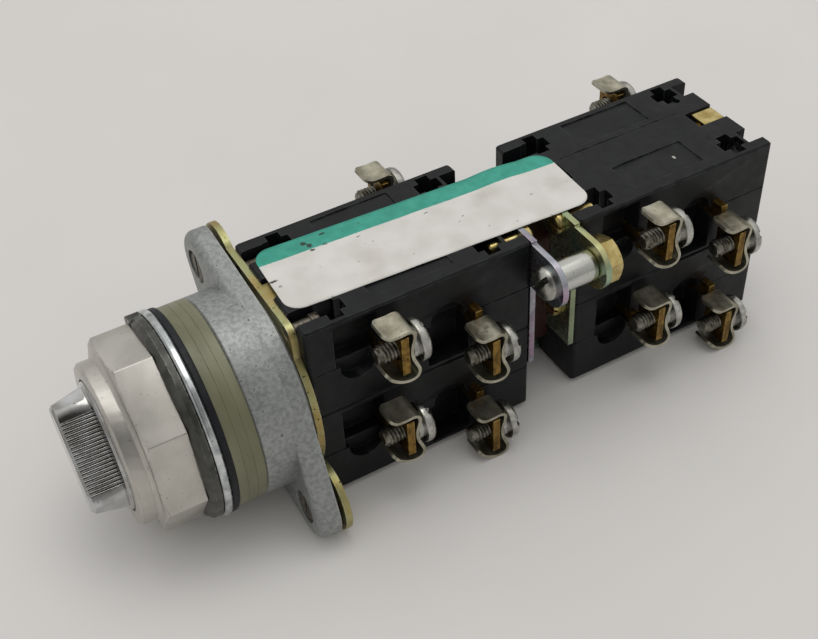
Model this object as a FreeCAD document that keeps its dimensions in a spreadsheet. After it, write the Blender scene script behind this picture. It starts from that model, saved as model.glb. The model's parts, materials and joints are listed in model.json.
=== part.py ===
import FreeCAD, Part
import math
import os
import Sketcher

# Rotary selector switch with two tandem pairs of contact blocks.
# Origin: the operator axis where it crosses the panel seat (front of the gasket).
# +Y runs from the knob to the rear, +X to the near terminal side, +Z to the label side.

SIZES = [
    ("gasket_thk", 1.5, "rubber gasket, axial"),
    ("gasket_rad", 20.6, "rubber gasket outside"),
    ("ring_thk", 1.85, "one nylon spacer ring"),
    ("ring_rad", 20.2, "nylon ring outside"),
    ("ring_bore", 15.1, "bore of everything stacked on the neck"),
    ("trim_thk", 1.6, "bright washer"),
    ("trim_rad", 20.9, "bright washer outside"),
    ("lock_thk", 2.7, "dark locating ring"),
    ("lock_rad", 20.3, "dark locating ring outside"),
    ("nut_flats", 36.2, "octagon across flats"),
    ("nut_thk", 7.7, "octagon, axial"),
    ("nut_turn", 35.8, "angle of one octagon corner"),
    ("collar_rad", 16.05, "round front collar of the nut"),
    ("collar_len", 3.8, "collar, axial"),
    ("collar_bore", 13.1, "opening around the knob disc"),
    ("neck_rad", 15.0, "threaded neck, major"),
    ("neck_bore", 9.6, "inside of the neck"),
    ("barrel_rad", 20.2, "die-cast barrel"),
    ("barrel_len", 5.95, "barrel in front of the ears"),
    ("flange_thk", 4.35, "ear flange, axial"),
    ("ear_off", 25.4, "ear centre from the axis"),
    ("ear_rad", 7.0, "ear end radius"),
    ("ear_turn", 143.2, "direction of the upper ear"),
    ("ear_hole", 2.2, "ear screw hole radius"),
    ("cavity_rad", 16.5, "cam chamber"),
    ("cavity_front", 9.0, "front wall of the cam chamber"),
    ("pad_gap", 0.85, "raised rim between flange and plate"),
    ("plate_thk", 1.4, "yellow mounting plate"),
    ("plate_rad", 18.8, "plate round part"),
    ("knob_disc", 12.75, "knob disc radius"),
    ("disc_front", 16.35, "disc face in front of the seat"),
    ("disc_rear", 12.6, "disc rear in front of the seat"),
    ("bar_front", 22.8, "bar tip in front of the seat"),
    ("bar_half", 4.5, "half width of the bar"),
    ("rib_reach", 7.3, "ribbed half length of the bar"),
    ("bar_reach", 11.8, "half length of the bar at the disc"),
    ("bar_turn", 131.3, "direction of the bar as it rests"),
    ("rib_pitch", 0.73, "spacing of the ribs"),
    ("shaft_rad", 4.0, "operator shaft"),
    ("shaft_play", 0.08, "radial running clearance"),
    ("cam_rad", 14.0, "swash cam"),
    ("cam_front", 9.4, "front face of the cam"),
    ("cam_mid", 13.6, "cam slope where it crosses the axis"),
    ("cam_slope", 0.2045, "rise of the cam face per mm of x"),
    ("rod_off", 10.76, "push rods from the axis"),
    ("rod_rad", 2.3, "push rods and plungers"),
    ("rod_play", 0.08, "radial running clearance of the rods"),
    ("tip_gap", 0.456, "rod tip behind the cam slope"),
    ("block_len", 47.6, "contact block along the axis"),
    ("block_wid", 30.26, "contact block, side to side"),
    ("half_thk", 10.76, "base or cover of a block"),
    ("pair_gap", 11.07, "between the front and rear blocks"),
    ("room_wid", 18.6, "inside of a block, side to side"),
    ("room_half", 5.0, "inside of a block, half height"),
    ("wall_end", 4.0, "end walls of a block"),
    ("pole_y_one", 15.2, "front terminals from the block front"),
    ("pole_y_two", 34.2, "rear terminals from the block front"),
    ("pole_thk", 1.6, "terminal plate"),
    ("pole_reach", 8.9, "terminal plate beyond the side"),
    ("pole_high", 15.9, "raised terminals above the block bottom"),
    ("pole_tall", 8.7, "terminal plate height"),
    ("pocket_deep", 4.8, "wire pocket into the side"),
    ("pocket_long", 9.0, "wire pocket along the axis"),
    ("clamp_wid", 6.0, "saddle clamp strip width"),
    ("clamp_thk", 0.65, "saddle clamp strip thickness"),
    ("screw_rad", 2.08, "terminal screw thread"),
    ("screw_head", 4.1, "terminal screw head radius"),
    ("cross_x", 10.8, "cross openings from the centre"),
    ("cross_y_one", 7.3, "front cross from the block front"),
    ("cross_y_two", 40.3, "rear cross from the block front"),
    ("cross_deep", 5.0, "depth of the cross openings"),
    ("post_wid", 2.68, "rear corner posts of a cover, side to side"),
    ("post_in", 8.3, "half width of the rear wall between the posts"),
    ("adapt_thk", 1.3, "adaptor plates"),
    ("adapt_low", 10.4, "near lower edge of the adaptor plates"),
    ("lug_x", 20.6, "adaptor screw from the centre"),
    ("lug_z", 15.6, "adaptor screw above the centre"),
    ("lug_rad", 5.2, "adaptor ear radius"),
    ("sleeve_rad", 3.2, "spacer sleeve"),
    ("label_wid", 18.8, "paper label"),
    ("label_len", 64.3, "paper label along the axis"),
    ("label_thk", 0.2, "paper label thickness"),
]

doc = FreeCAD.newDocument("selector_switch")
sheet = doc.addObject("Spreadsheet::Sheet", "Dims")
for row, (alias, number, note) in enumerate(SIZES, start=1):
    sheet.set("A%d" % row, note)
    sheet.set("B%d" % row, str(number))
    sheet.setAlias("B%d" % row, alias)
doc.recompute()


class Size:
    """A length that knows its number and the sheet formula behind it."""

    def __init__(self, number, text):
        self.number = float(number)
        self.text = text

    def __add__(self, other):
        other = size(other)
        return Size(self.number + other.number, "(%s + %s)" % (self.text, other.text))

    def __sub__(self, other):
        other = size(other)
        return Size(self.number - other.number, "(%s - %s)" % (self.text, other.text))

    def __mul__(self, other):
        other = size(other)
        return Size(self.number * other.number, "(%s * %s)" % (self.text, other.text))

    def __truediv__(self, other):
        other = size(other)
        return Size(self.number / other.number, "(%s / %s)" % (self.text, other.text))

    def __radd__(self, other):
        return size(other) + self

    def __rsub__(self, other):
        return size(other) - self

    def __rmul__(self, other):
        return size(other) * self

    def __neg__(self):
        return Size(-self.number, "(0 - %s)" % self.text)


def size(value):
    if isinstance(value, Size):
        return value
    return Size(value, "(%.6f)" % value)


def cosd(angle):
    angle = size(angle)
    return Size(math.cos(math.radians(angle.number)), "cos(%s * 1 deg)" % angle.text)


def sind(angle):
    angle = size(angle)
    return Size(math.sin(math.radians(angle.number)), "sin(%s * 1 deg)" % angle.text)


def acosd(ratio):
    ratio = size(ratio)
    return Size(math.degrees(math.acos(ratio.number)), "(acos(%s) / (1 deg))" % ratio.text)


def dim(alias):
    return Size(sheet.get(alias), "Dims.%s" % alias)


def bind(thing, prop, value):
    value = size(value)
    thing.setExpression(prop, value.text)


NODES = []


def node(thing, label):
    thing.Label = label
    NODES.append(thing)
    return thing


def new_body(name, x=0, y=0, z=0, turn=None, about=(0, 1, 0)):
    body = doc.addObject("PartDesign::Body", name)
    place(body, x, y, z, turn, about)
    return body


def place(thing, x=0, y=0, z=0, turn=None, about=(0, 1, 0)):
    x, y, z = size(x), size(y), size(z)
    angle = size(turn) if turn is not None else size(0)
    rotation = FreeCAD.Rotation(FreeCAD.Vector(*about), angle.number)
    thing.Placement = FreeCAD.Placement(FreeCAD.Vector(x.number, y.number, z.number), rotation)
    bind(thing, "Placement.Base.x", x)
    bind(thing, "Placement.Base.y", y)
    bind(thing, "Placement.Base.z", z)
    if turn is not None:
        bind(thing, "Placement.Rotation.Angle", angle)


PLANES = {"X": "YZ_Plane", "Y": "XZ_Plane", "Z": "XY_Plane"}


def origin_part(body, role):
    return [part for part in body.Origin.OriginFeatures if part.Role == role][0]


def circle(x, y, radius):
    return ("circle", size(x), size(y), size(radius))


def outline(*points):
    """Closed outline; a point with a third entry starts an arc of that radius."""
    return ("outline", points)


def rect(x_low, y_low, x_high, y_high):
    return outline((x_low, y_low), (x_high, y_low), (x_high, y_high), (x_low, y_high))


def pin(sk, geo, pos, x, y):
    for kind, value in (("DistanceX", size(x)), ("DistanceY", size(y))):
        index = sk.addConstraint(Sketcher.Constraint(kind, -1, 1, geo, pos, value.number))
        sk.setExpression("Constraints[%d]" % index, value.text)


def arc_between(start, end, radius):
    """Counter-clockwise arc from start to end, less than half a turn."""
    chord = end - start
    middle = (start + end) * 0.5
    height = math.sqrt(max(radius * radius - chord.Length * chord.Length / 4.0, 0.0))
    side = FreeCAD.Vector(-chord.y, chord.x, 0)
    side.normalize()
    centre = middle + side * height
    first = math.atan2(start.y - centre.y, start.x - centre.x)
    last = math.atan2(end.y - centre.y, end.x - centre.x)
    if last < first:
        last += 2.0 * math.pi
    ring = Part.Circle(centre, FreeCAD.Vector(0, 0, 1), radius)
    return Part.ArcOfCircle(ring, first, last)


def draw_outline(sk, points):
    spots = [FreeCAD.Vector(size(p[0]).number, size(p[1]).number, 0) for p in points]
    ids = []
    for index, point in enumerate(points):
        start = spots[index]
        end = spots[(index + 1) % len(points)]
        if len(point) > 2:
            ids.append(sk.addGeometry(arc_between(start, end, size(point[2]).number), False))
        else:
            ids.append(sk.addGeometry(Part.LineSegment(start, end), False))
    for index in range(len(points)):
        follower = ids[(index + 1) % len(points)]
        sk.addConstraint(Sketcher.Constraint("Coincident", ids[index], 2, follower, 1))
    for index, point in enumerate(points):
        pin(sk, ids[index], 1, point[0], point[1])
        if len(point) > 2:
            value = size(point[2])
            rule = sk.addConstraint(Sketcher.Constraint("Radius", ids[index], value.number))
            sk.setExpression("Constraints[%d]" % rule, value.text)


def sketch(body, axis, offset, loops):
    sk = body.newObject("Sketcher::SketchObject", body.Name + "_sketch")
    sk.AttachmentSupport = (origin_part(body, PLANES[axis]), [""])
    sk.MapMode = "FlatFace"
    offset = -size(offset) if axis == "Y" else size(offset)
    sk.AttachmentOffset = FreeCAD.Placement(FreeCAD.Vector(0, 0, offset.number), FreeCAD.Rotation())
    bind(sk, "AttachmentOffset.Base.z", offset)
    for loop in loops:
        if loop[0] == "circle":
            ring = Part.Circle(
                FreeCAD.Vector(loop[1].number, loop[2].number, 0),
                FreeCAD.Vector(0, 0, 1),
                loop[3].number,
            )
            geo = sk.addGeometry(ring, False)
            pin(sk, geo, 3, loop[1], loop[2])
            rule = sk.addConstraint(Sketcher.Constraint("Radius", geo, loop[3].number))
            sk.setExpression("Constraints[%d]" % rule, loop[3].text)
        else:
            draw_outline(sk, loop[1])
    sk.Visibility = False
    return sk


def add(body, axis, low, high, *loops):
    """Pad the loops along an axis between two coordinates."""
    pad = body.newObject("PartDesign::Pad", body.Name + "_pad")
    pad.Profile = sketch(body, axis, low, loops)
    bind(pad, "Length", size(high) - size(low))
    pad.Reversed = axis == "Y"
    body.Tip = pad
    return pad


def cut(body, axis, low, high, *loops):
    """Remove the loops along an axis between two coordinates."""
    pocket = body.newObject("PartDesign::Pocket", body.Name + "_cut")
    pocket.Profile = sketch(body, axis, low, loops)
    bind(pocket, "Length", size(high) - size(low))
    pocket.Reversed = axis != "Y"
    body.Tip = pocket
    return pocket


def turned(body, *loops, kind="PartDesign::Revolution"):
    """Turn (y, radius) outlines about the body's Y axis."""
    solid = body.newObject(kind, body.Name + "_turn")
    sk = sketch(body, "X", 0, loops)
    solid.Profile = sk
    solid.ReferenceAxis = (sk, ["H_Axis"])
    solid.Angle = 360
    body.Tip = solid
    return solid


def tube(body, y_low, y_high, inner, outer, bevel=0.0):
    turned(body, outline(
        (y_low, inner),
        (y_high, inner),
        (y_high, size(outer) - bevel),
        (size(y_high) - bevel, outer),
        (size(y_low) + bevel, outer),
        (y_low, size(outer) - bevel),
    ) if bevel else rect(y_low, inner, y_high, outer))


def edges_where(feature, test):
    names = []
    for index, edge in enumerate(feature.Shape.Edges, start=1):
        box = edge.BoundBox
        if test(edge, box):
            names.append("Edge%d" % index)
    return names


def dress(body, kind, amount, test):
    """Fillet or chamfer the edges of the tip that pass the test."""
    doc.recompute()
    base = body.Tip
    dressing = body.newObject(kind, body.Name + "_edge")
    dressing.Base = (base, edges_where(base, test))
    if kind == "PartDesign::Fillet":
        bind(dressing, "Radius", amount)
    else:
        bind(dressing, "Size", amount)
    body.Tip = dressing
    return dressing


def near(a, b):
    return abs(a - b) < 1e-4


def group(label, master, spots):
    """One node of separate equal solids: links to a master, each with its own place."""
    links = []
    for spot in spots:
        link = doc.addObject("App::Link", label + "_item")
        link.LinkedObject = master
        place(link, *spot)
        links.append(link)
    bunch = doc.addObject("Part::Compound", label)
    bunch.Links = links
    return node(bunch, label)


# Stations along the axis.
stack_rear = dim("gasket_thk") + 3 * dim("ring_thk")
flange_front = stack_rear + dim("barrel_len")
flange_rear = flange_front + dim("flange_thk")
plate_front = flange_rear + dim("pad_gap")
block_front = plate_front + dim("plate_thk")
pair_rear = block_front + dim("block_len")
second_front = pair_rear + dim("pair_gap")
lock_rear = -dim("trim_thk")
nut_rear = lock_rear - dim("lock_thk")
nut_front = nut_rear - dim("nut_thk")
collar_front = nut_front - dim("collar_len")
side = dim("block_wid") / 2
mid = dim("half_thk")
block_thk = 2 * dim("half_thk")
pole_low = block_thk - dim("pole_high")


def make_knob():
    body = new_body("knob", turn=-dim("bar_turn"))
    front = -dim("disc_front")
    tip = -dim("bar_front")
    turned(body, outline(
        (front, 0),
        (-dim("disc_rear"), 0),
        (-dim("disc_rear"), dim("knob_disc")),
        (front + 0.5, dim("knob_disc")),
        (front, dim("knob_disc") - 0.5),
    ))
    half = dim("bar_half")
    flat = dim("rib_reach")
    sections = []
    for station, reach, thin in ((front + 0.2, dim("bar_reach"), 0.0), (tip, dim("bar_reach") - 1.3, 0.25)):
        wide = half - thin
        corners = (
            (flat, wide),
            (flat + 2.2, wide - 0.7),
            (reach, wide - 2.6),
            (reach, -(wide - 2.6)),
            (flat + 2.2, -(wide - 0.7)),
            (flat, -wide),
            (-flat, -wide),
            (-(flat + 2.2), -(wide - 0.7)),
            (-reach, -(wide - 2.6)),
            (-reach, wide - 2.6),
            (-(flat + 2.2), wide - 0.7),
            (-flat, wide),
        )
        sections.append(sketch(body, "Y", station, [outline(*corners)]))
    loft = body.newObject("PartDesign::AdditiveLoft", "knob_bar")
    loft.Profile = sections[0]
    loft.Sections = sections[1:]
    loft.Ruled = True
    body.Tip = loft
    dress(body, "PartDesign::Chamfer", 0.55, lambda e, b: near(b.YMin, tip.number) and near(b.YMax, tip.number))
    count = 20
    pitch = dim("rib_pitch")
    start = -pitch * (count - 1) / 2
    for sign in (1, -1):
        face = half * sign
        groove = cut(body, "Y", tip - 1, front, outline(
            (start - pitch * 0.36, face + 0.1 * sign),
            (start, face - 0.5 * sign),
            (start + pitch * 0.36, face + 0.1 * sign),
        ) if sign > 0 else outline(
            (start - pitch * 0.36, face + 0.1 * sign),
            (start + pitch * 0.36, face + 0.1 * sign),
            (start, face - 0.5 * sign),
        ))
        pattern = body.newObject("PartDesign::LinearPattern", "knob_ribs")
        pattern.Originals = [groove]
        pattern.Direction = (origin_part(body, "X_Axis"), [""])
        bind(pattern, "Length", pitch * (count - 1))
        pattern.Occurrences = count
        body.Tip = pattern
    return node(body, "knob")


def make_shaft():
    body = new_body("shaft")
    turned(body, outline(
        (-dim("disc_rear"), 0),
        (dim("cam_front"), 0),
        (dim("cam_front"), dim("shaft_rad") + 2),
        (dim("cam_front") - 1.5, dim("shaft_rad") + 2),
        (dim("cam_front") - 1.5, dim("shaft_rad")),
        (-dim("disc_rear"), dim("shaft_rad")),
    ))
    return node(body, "operator_shaft")


def make_cam():
    body = new_body("cam")
    high = dim("cam_mid") + dim("cam_slope") * dim("cam_rad")
    turned(body, rect(dim("cam_front"), 0, high + 1, dim("cam_rad")))
    reach = dim("cam_rad") + 2
    rise = dim("cam_slope") * reach
    cut(body, "Z", -reach, reach, outline(
        (-reach, dim("cam_mid") - rise),
        (reach, dim("cam_mid") + rise),
        (reach, high + 9),
        (-reach, high + 9),
    ))
    for step in (-45, 0, 45):
        cut(body, "Y", dim("cam_front") - 1, high + 2, circle(
            (dim("cam_rad") + 0.8) * sind(step),
            (dim("cam_rad") + 0.8) * cosd(step),
            1.8,
        ))
    return node(body, "swash_cam")


def make_detent():
    body = new_body("detent")
    low = dim("cam_front") + 1
    top = dim("cam_rad") + 1.0
    add(body, "Y", low, low + 3.5, outline(
        (-5.5, top),
        (-2.0, top),
        (0, top - 0.55),
        (2.0, top),
        (5.5, top),
        (5.5, top + 0.35),
        (1.9, top + 0.35),
        (0, top - 0.2),
        (-1.9, top + 0.35),
        (-5.5, top + 0.35),
    ))
    return node(body, "detent_leaf")


def make_rods():
    for label, sign in (("push_rod_upper", 1), ("push_rod_lower", -1)):
        body = new_body(label, z=dim("rod_off") * sign)
        tip = dim("cam_mid") + dim("tip_gap")
        radius = dim("rod_rad")
        turned(body, outline(
            (tip, 0),
            (block_front, 0),
            (block_front, radius),
            (tip + radius, radius, radius),
        ))
        node(body, label)


def make_nut():
    body = new_body("nut")
    corner = dim("nut_flats") / 2 / cosd(22.5)
    points = []
    for index in range(8):
        angle = dim("nut_turn") + 45 * index
        points.append((corner * cosd(angle), corner * sind(angle)))
    add(body, "Y", nut_front, nut_rear, outline(*points))
    dress(body, "PartDesign::Fillet", 0.45, lambda e, b: b.YLength > 1)
    turned(body, outline(
        (nut_front - 2, corner - 1.0),
        (nut_front, corner - 1.0),
        (nut_front + 0.75, corner + 0.3),
        (nut_front + 0.75, corner + 4),
        (nut_front - 2, corner + 4),
    ), kind="PartDesign::Groove")
    rim = dim("collar_rad")
    turned(body, outline(
        (collar_front, dim("collar_bore")),
        (nut_rear - 1, dim("collar_bore")),
        (nut_rear - 1, rim + 1),
        (nut_front + 0.1, rim + 1.0),
        (nut_front - 0.1, rim + 0.7),
        (nut_front - 0.4, rim + 0.3),
        (nut_front - 0.8, rim),
        (collar_front + 0.5, rim),
        (collar_front, rim - 0.5),
    ))
    cut(body, "Y", nut_front + 0.2, nut_rear + 1, circle(0, 0, dim("neck_rad") + 0.05))
    cut(body, "Y", collar_front - 1, nut_front + 0.3, circle(0, 0, dim("collar_bore")))
    return node(body, "mounting_nut")


def make_stack():
    lock = new_body("lock_ring")
    rim = dim("lock_rad")
    turned(lock, outline(
        (nut_rear, dim("ring_bore")),
        (lock_rear, dim("ring_bore")),
        (lock_rear, rim - 0.2),
        (lock_rear - 0.2, rim),
        (nut_rear + 1.3, rim),
        (nut_rear + 0.4, rim - 0.7),
        (nut_rear, rim - 1.7),
    ))
    lug = rim - 1.2
    add(lock, "Y", nut_rear + 0.1, lock_rear, circle(lug * cosd(128), lug * sind(128), 1.8))
    node(lock, "locating_ring")
    trim = new_body("trim_ring")
    tube(trim, lock_rear, 0, dim("ring_bore"), dim("trim_rad"), 0.35)
    node(trim, "bright_washer")
    gasket = new_body("gasket")
    tube(gasket, 0, dim("gasket_thk"), dim("ring_bore"), dim("gasket_rad"), 0.25)
    node(gasket, "gasket")
    for index in range(3):
        body = new_body("spacer_ring")
        low = dim("gasket_thk") + index * dim("ring_thk")
        tube(body, low, low + dim("ring_thk"), dim("ring_bore"), dim("ring_rad"), 0.05)
        node(body, "spacer_ring_%d" % (index + 1))


def lobed(radius, grow=0.0):
    """Round plate with two opposite ears and straight flanks."""
    ear = dim("ear_rad") + grow
    swing = acosd((radius - ear) / dim("ear_off"))
    points = []
    for base in (dim("ear_turn"), dim("ear_turn") + 180):
        first = base - swing
        last = base + swing
        centre_x = dim("ear_off") * cosd(base)
        centre_y = dim("ear_off") * sind(base)
        points.append((radius * cosd(first), radius * sind(first)))
        points.append((centre_x + ear * cosd(first), centre_y + ear * sind(first), ear))
        points.append((centre_x + ear * cosd(last), centre_y + ear * sind(last)))
        points.append((radius * cosd(last), radius * sind(last), radius))
    return outline(*points)


def ear_spots():
    turn = dim("ear_turn")
    return [
        (dim("ear_off") * cosd(turn), dim("ear_off") * sind(turn)),
        (-dim("ear_off") * cosd(turn), -dim("ear_off") * sind(turn)),
    ]


def make_housing():
    body = new_body("housing")
    add(body, "Y", flange_front, flange_rear, lobed(dim("barrel_rad")))
    dress(body, "PartDesign::Fillet", 1.8, lambda e, b: near(b.YMin, flange_front.number) and b.YLength < 0.01)
    rim = dim("barrel_rad")
    turned(body, outline(
        (nut_front + 0.6, dim("neck_bore")),
        (flange_rear, dim("neck_bore")),
        (flange_rear, rim - 1),
        (flange_front + 1, rim),
        (stack_rear + 0.5, rim),
        (stack_rear, rim - 0.5),
        (stack_rear, dim("neck_rad")),
        (nut_front + 1.2, dim("neck_rad")),
        (nut_front + 0.6, dim("neck_rad") - 0.6),
    ))
    web = nut_front + 3
    turned(body, rect(web, dim("shaft_rad") + dim("shaft_play"), web + 4, dim("neck_bore") + 1))
    cut(body, "Y", dim("cavity_front"), flange_rear + 1, circle(0, 0, dim("cavity_rad")))
    add(body, "Y", flange_rear - 0.2, plate_front, circle(0, 0, dim("plate_rad") - 0.6), circle(0, 0, dim("cavity_rad")))
    for x, z in ear_spots():
        cut(body, "Y", flange_front - 1, flange_rear + 1, circle(x, z, dim("ear_hole")))
        cut(body, "Y", flange_front - 1, flange_front + 1.2, circle(x, z, dim("ear_hole") + 1.3))
    return node(body, "operator_housing")


def make_ear_screws():
    master = new_body("ear_screw")
    root = flange_front + 1.2
    rear = block_front
    bore = dim("ear_hole") - 0.15
    turned(master, outline(
        (root - 1.0, 0),
        (rear, 0),
        (rear, bore - 0.4),
        (rear - 0.4, bore),
        (root, bore),
        (root, bore + 1.2),
        (root - 0.5, bore + 1.2),
        (root - 1.0, bore + 0.6),
    ))
    cut(master, "Y", root - 2, root - 0.5, rect(-0.4, -5, 0.4, 5))
    group("ear_screws", master, [(x, 0, z) for x, z in ear_spots()])


def tunnel_spots():
    return [(0, dim("rod_off")), (0, -dim("rod_off"))]


def fixing_spots():
    high = block_thk - 2.6
    return [
        (dim("cross_x") - 0.7, high),
        (-(dim("cross_x") - 0.7), high),
        (dim("cross_x") - 0.7, high - block_thk),
        (-(dim("cross_x") - 0.7), high - block_thk),
    ]


def make_mounting_plate():
    body = new_body("mounting_plate")
    add(body, "Y", plate_front, block_front, circle(0, 0, dim("plate_rad")))
    ear = dim("ear_rad") + 0.2
    top = block_thk - 0.9
    for sign, (x, z) in zip((1, -1), ear_spots()):
        add(body, "Y", plate_front, block_front, circle(x, z, ear))
        add(body, "Y", plate_front, block_front, outline(
            (-15.4 * sign, 6 * sign),
            (12.3 * sign, 6 * sign),
            (12.3 * sign, (top - 3) * sign, 3),
            (9.3 * sign, top * sign),
            (-15.4 * sign, top * sign),
        ))
    for x, z in ear_spots():
        cut(body, "Y", plate_front - 1, block_front + 1, circle(x, z, dim("ear_hole")))
    for x, z in fixing_spots():
        cut(body, "Y", plate_front - 1, block_front + 1, circle(x, z, 1.4))
    for x, z in tunnel_spots():
        cut(body, "Y", plate_front - 1, block_front + 1, circle(x, z, dim("rod_rad") + 0.5))
    add(body, "Z", block_thk - 2.2, block_thk - 0.9, rect(-2.4, plate_front, 2.4, block_front + 4))
    return node(body, "mounting_plate")


def shell(body, low, high):
    add(body, "Z", low, high, rect(-side, 0, side, dim("block_len")))
    dress(body, "PartDesign::Fillet", 0.9, lambda e, b: b.ZLength > 5)


def side_pockets(body):
    """Wire pockets, terminal slots and scoops on both sides, over the full height."""
    for sign in (1, -1):
        out = side * sign
        inner = (side - dim("pocket_deep")) * sign
        x_low, x_high = (inner, out) if sign > 0 else (out, inner)
        slots = (dim("pole_y_one"), dim("pole_y_two"))
        highs = (True, False) if sign > 0 else (False, True)
        for station, raised in zip(slots, highs):
            face = station - dim("pole_thk") / 2
            level = dim("pole_high") if raised else pole_low
            low = level - dim("pole_tall") / 2 - 1.2
            top = level + dim("pole_tall") / 2 + 0.3
            if not raised:
                low = block_thk - (dim("pole_high") + dim("pole_tall") / 2 + 0.3)
                top = block_thk - (dim("pole_high") - dim("pole_tall") / 2 - 1.2)
            cut(body, "X", x_low, x_high, rect(face - dim("pocket_long"), low, face, top))
            wall_low, wall_high = (dim("room_wid") / 2 - 1, side + 1) if sign > 0 else (-side - 1, 1 - dim("room_wid") / 2)
            cut(body, "X", wall_low, wall_high, rect(face - 0.05, mid - 2.05, face + dim("pole_thk") + 0.05, mid + 2.05))
            scoop = top + 0.3 if not raised else low - 0.3
            shallow = (side - 2.4) * sign
            s_low, s_high = (shallow, out) if sign > 0 else (out, shallow)
            cut(body, "X", s_low, s_high, circle(face - dim("pocket_long") / 2, scoop, 3.7))


def make_base(label, y, z):
    body = new_body(label, 0, y, z)
    shell(body, 0, mid)
    dress(body, "PartDesign::Chamfer", 0.4, lambda e, b: near(b.ZMax, 0))
    room = dim("room_wid") / 2
    cut(body, "Z", mid - dim("room_half"), mid + 1, rect(-room, dim("wall_end"), room, dim("block_len") - dim("wall_end")))
    cut(body, "Y", -1, dim("block_len") + 1, circle(0, mid, dim("rod_rad") + dim("rod_play")))
    cut(body, "Z", mid - 0.22, mid + 1, rect(-side - 1, -1, side + 1, dim("block_len") + 1), rect(0.4 - side, 0.4, side - 0.4, dim("block_len") - 0.4))
    side_pockets(body)
    return node(body, label)


def make_cover(label, y, z):
    body = new_body(label, 0, y, z)
    shell(body, mid, block_thk)
    dress(body, "PartDesign::Chamfer", 0.4, lambda e, b: near(b.ZMin, block_thk.number))
    room = dim("room_wid") / 2
    length = dim("block_len")
    cut(body, "Z", mid - 1, mid + dim("room_half"), rect(-room, dim("wall_end"), room, length - dim("wall_end")))
    cut(body, "Y", -1, length + 1, circle(0, mid, dim("rod_rad") + dim("rod_play")))
    side_pockets(body)
    floor = block_thk - dim("cross_deep")
    above = block_thk + 1
    for sign in (1, -1):
        centre = dim("cross_x") * sign
        for station in (dim("cross_y_one"), dim("cross_y_two")):
            cut(body, "Z", floor, above, rect(centre - 3.2, station - 1.4, centre + 3.2, station + 1.4))
            cut(body, "Z", floor, above, rect(centre - 1.45, station - 2.7, centre + 1.45, station + 2.7))
        lane = (dim("cross_x") - 0.7) * sign
        cut(body, "Z", floor, above, rect(lane - 1.95, -1, lane + 1.95, dim("cross_y_one") - 1.4))
        inner = dim("post_in") * sign
        outer = (side - dim("post_wid")) * sign
        x_low, x_high = (inner, outer) if sign > 0 else (outer, inner)
        cut(body, "Z", floor, above, rect(x_low, dim("cross_y_two") + 3.4, x_high, length + 1))
        cut(body, "Y", dim("cross_y_two"), length, circle(lane, block_thk - 2.6, 1.4))
    cut(body, "Z", floor, above, rect(-2.9, -1, 2.9, 7.1))
    cut(body, "Z", floor, above, rect(-2.6, dim("cross_y_two") - 1.1, 2.6, length + 1))
    cut(body, "Z", floor, above, rect(-dim("post_in") - 0.2, length - 1.4, dim("post_in") + 0.2, length + 1))
    cut(body, "Z", block_thk - 0.3, above, rect(-13.5, 15.2, -5.5, 32.2))
    cut(body, "Z", block_thk - 0.2, above, rect(-4.05, 8.3, -3.8, 38.6))
    cut(body, "Z", block_thk - 0.3, above, rect(4.2, 15.2, 12.2, 32.2))
    cut(body, "Z", block_thk - 2, above, circle(-7.6, dim("cross_y_two") + 0.9, 0.75))
    return node(body, label)


def make_plunger(label, y, z, length):
    body = new_body(label, 0, y, z + mid)
    turned(body, rect(0, 0, length, dim("rod_rad")))
    front = dim("pole_y_one") + 1.8
    rear = dim("pole_y_two") - 1.8
    add(body, "Y", front, rear, rect(-4, -3.6, 4, 3.6))
    for low, high in bridge_stations():
        cut(body, "X", -6, 6, rect(low, -2, high, 2))
    return node(body, label)


def bridge_stations():
    front = dim("pole_y_one") + dim("pole_thk") / 2 + 1.9
    rear = dim("pole_y_two") - dim("pole_thk") / 2 - 1.9
    return [(front, front + 1), (rear - 1, rear)]


def make_bridges(label, y, z):
    master = new_body(label + "_strip")
    reach = dim("room_wid") / 2 - 0.7
    add(master, "Y", 0, 1, rect(-reach, -2, reach, 2))
    spots = [(0, y + low, z + mid) for low, high in bridge_stations()]
    group(label, master, spots)


def make_return_spring(label, y, z):
    start = (dim("pole_y_two") - 1.8 + 0.5).number
    end = (dim("block_len") - dim("wall_end")).number - 0.2
    wire = 0.35
    turns = 5.0
    radius = dim("rod_rad").number + 1.1
    helix = Part.makeHelix((end - start - 2 * wire) / turns, end - start - 2 * wire, radius)
    ring = Part.Wire([Part.makeCircle(wire, FreeCAD.Vector(radius, 0, 0), FreeCAD.Vector(0, 1, 0))])
    coil = Part.Wire(helix.Edges).makePipeShell([ring], True, True)
    coil.rotate(FreeCAD.Vector(0, 0, 0), FreeCAD.Vector(1, 0, 0), -90)
    coil.translate(FreeCAD.Vector(0, start + wire, 0))
    spring = doc.addObject("Part::Feature", label)
    spring.Shape = Part.makeCompound([coil])
    place(spring, 0, y, z + mid)
    return node(spring, label)


def make_terminal_master(name, raised):
    body = new_body(name)
    thick = dim("pole_thk") / 2
    level = dim("pole_high") - mid
    low = level - dim("pole_tall") / 2
    top = level + dim("pole_tall") / 2
    end = side + dim("pole_reach")
    knee = end - dim("clamp_wid") - 0.5
    step = end - dim("clamp_wid") - 0.15
    flip = 1 if raised else -1
    corners = [
        (dim("room_wid") / 2 - 3.7, -2),
        (step, -2),
        (step, low),
        (end, low),
        (end, top),
        (knee, top),
        (knee, 2),
        (dim("room_wid") / 2 - 3.7, 2),
    ]
    if not raised:
        corners = [(x, -1 * size(z)) for x, z in reversed(corners)]
    add(body, "Y", -thick, thick, outline(*corners))
    hole = side + dim("pole_reach") - dim("clamp_wid") / 2
    cut(body, "Y", -thick - 1, thick + 1, circle(hole, level * flip, dim("screw_rad") + 0.02))
    return body


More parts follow.
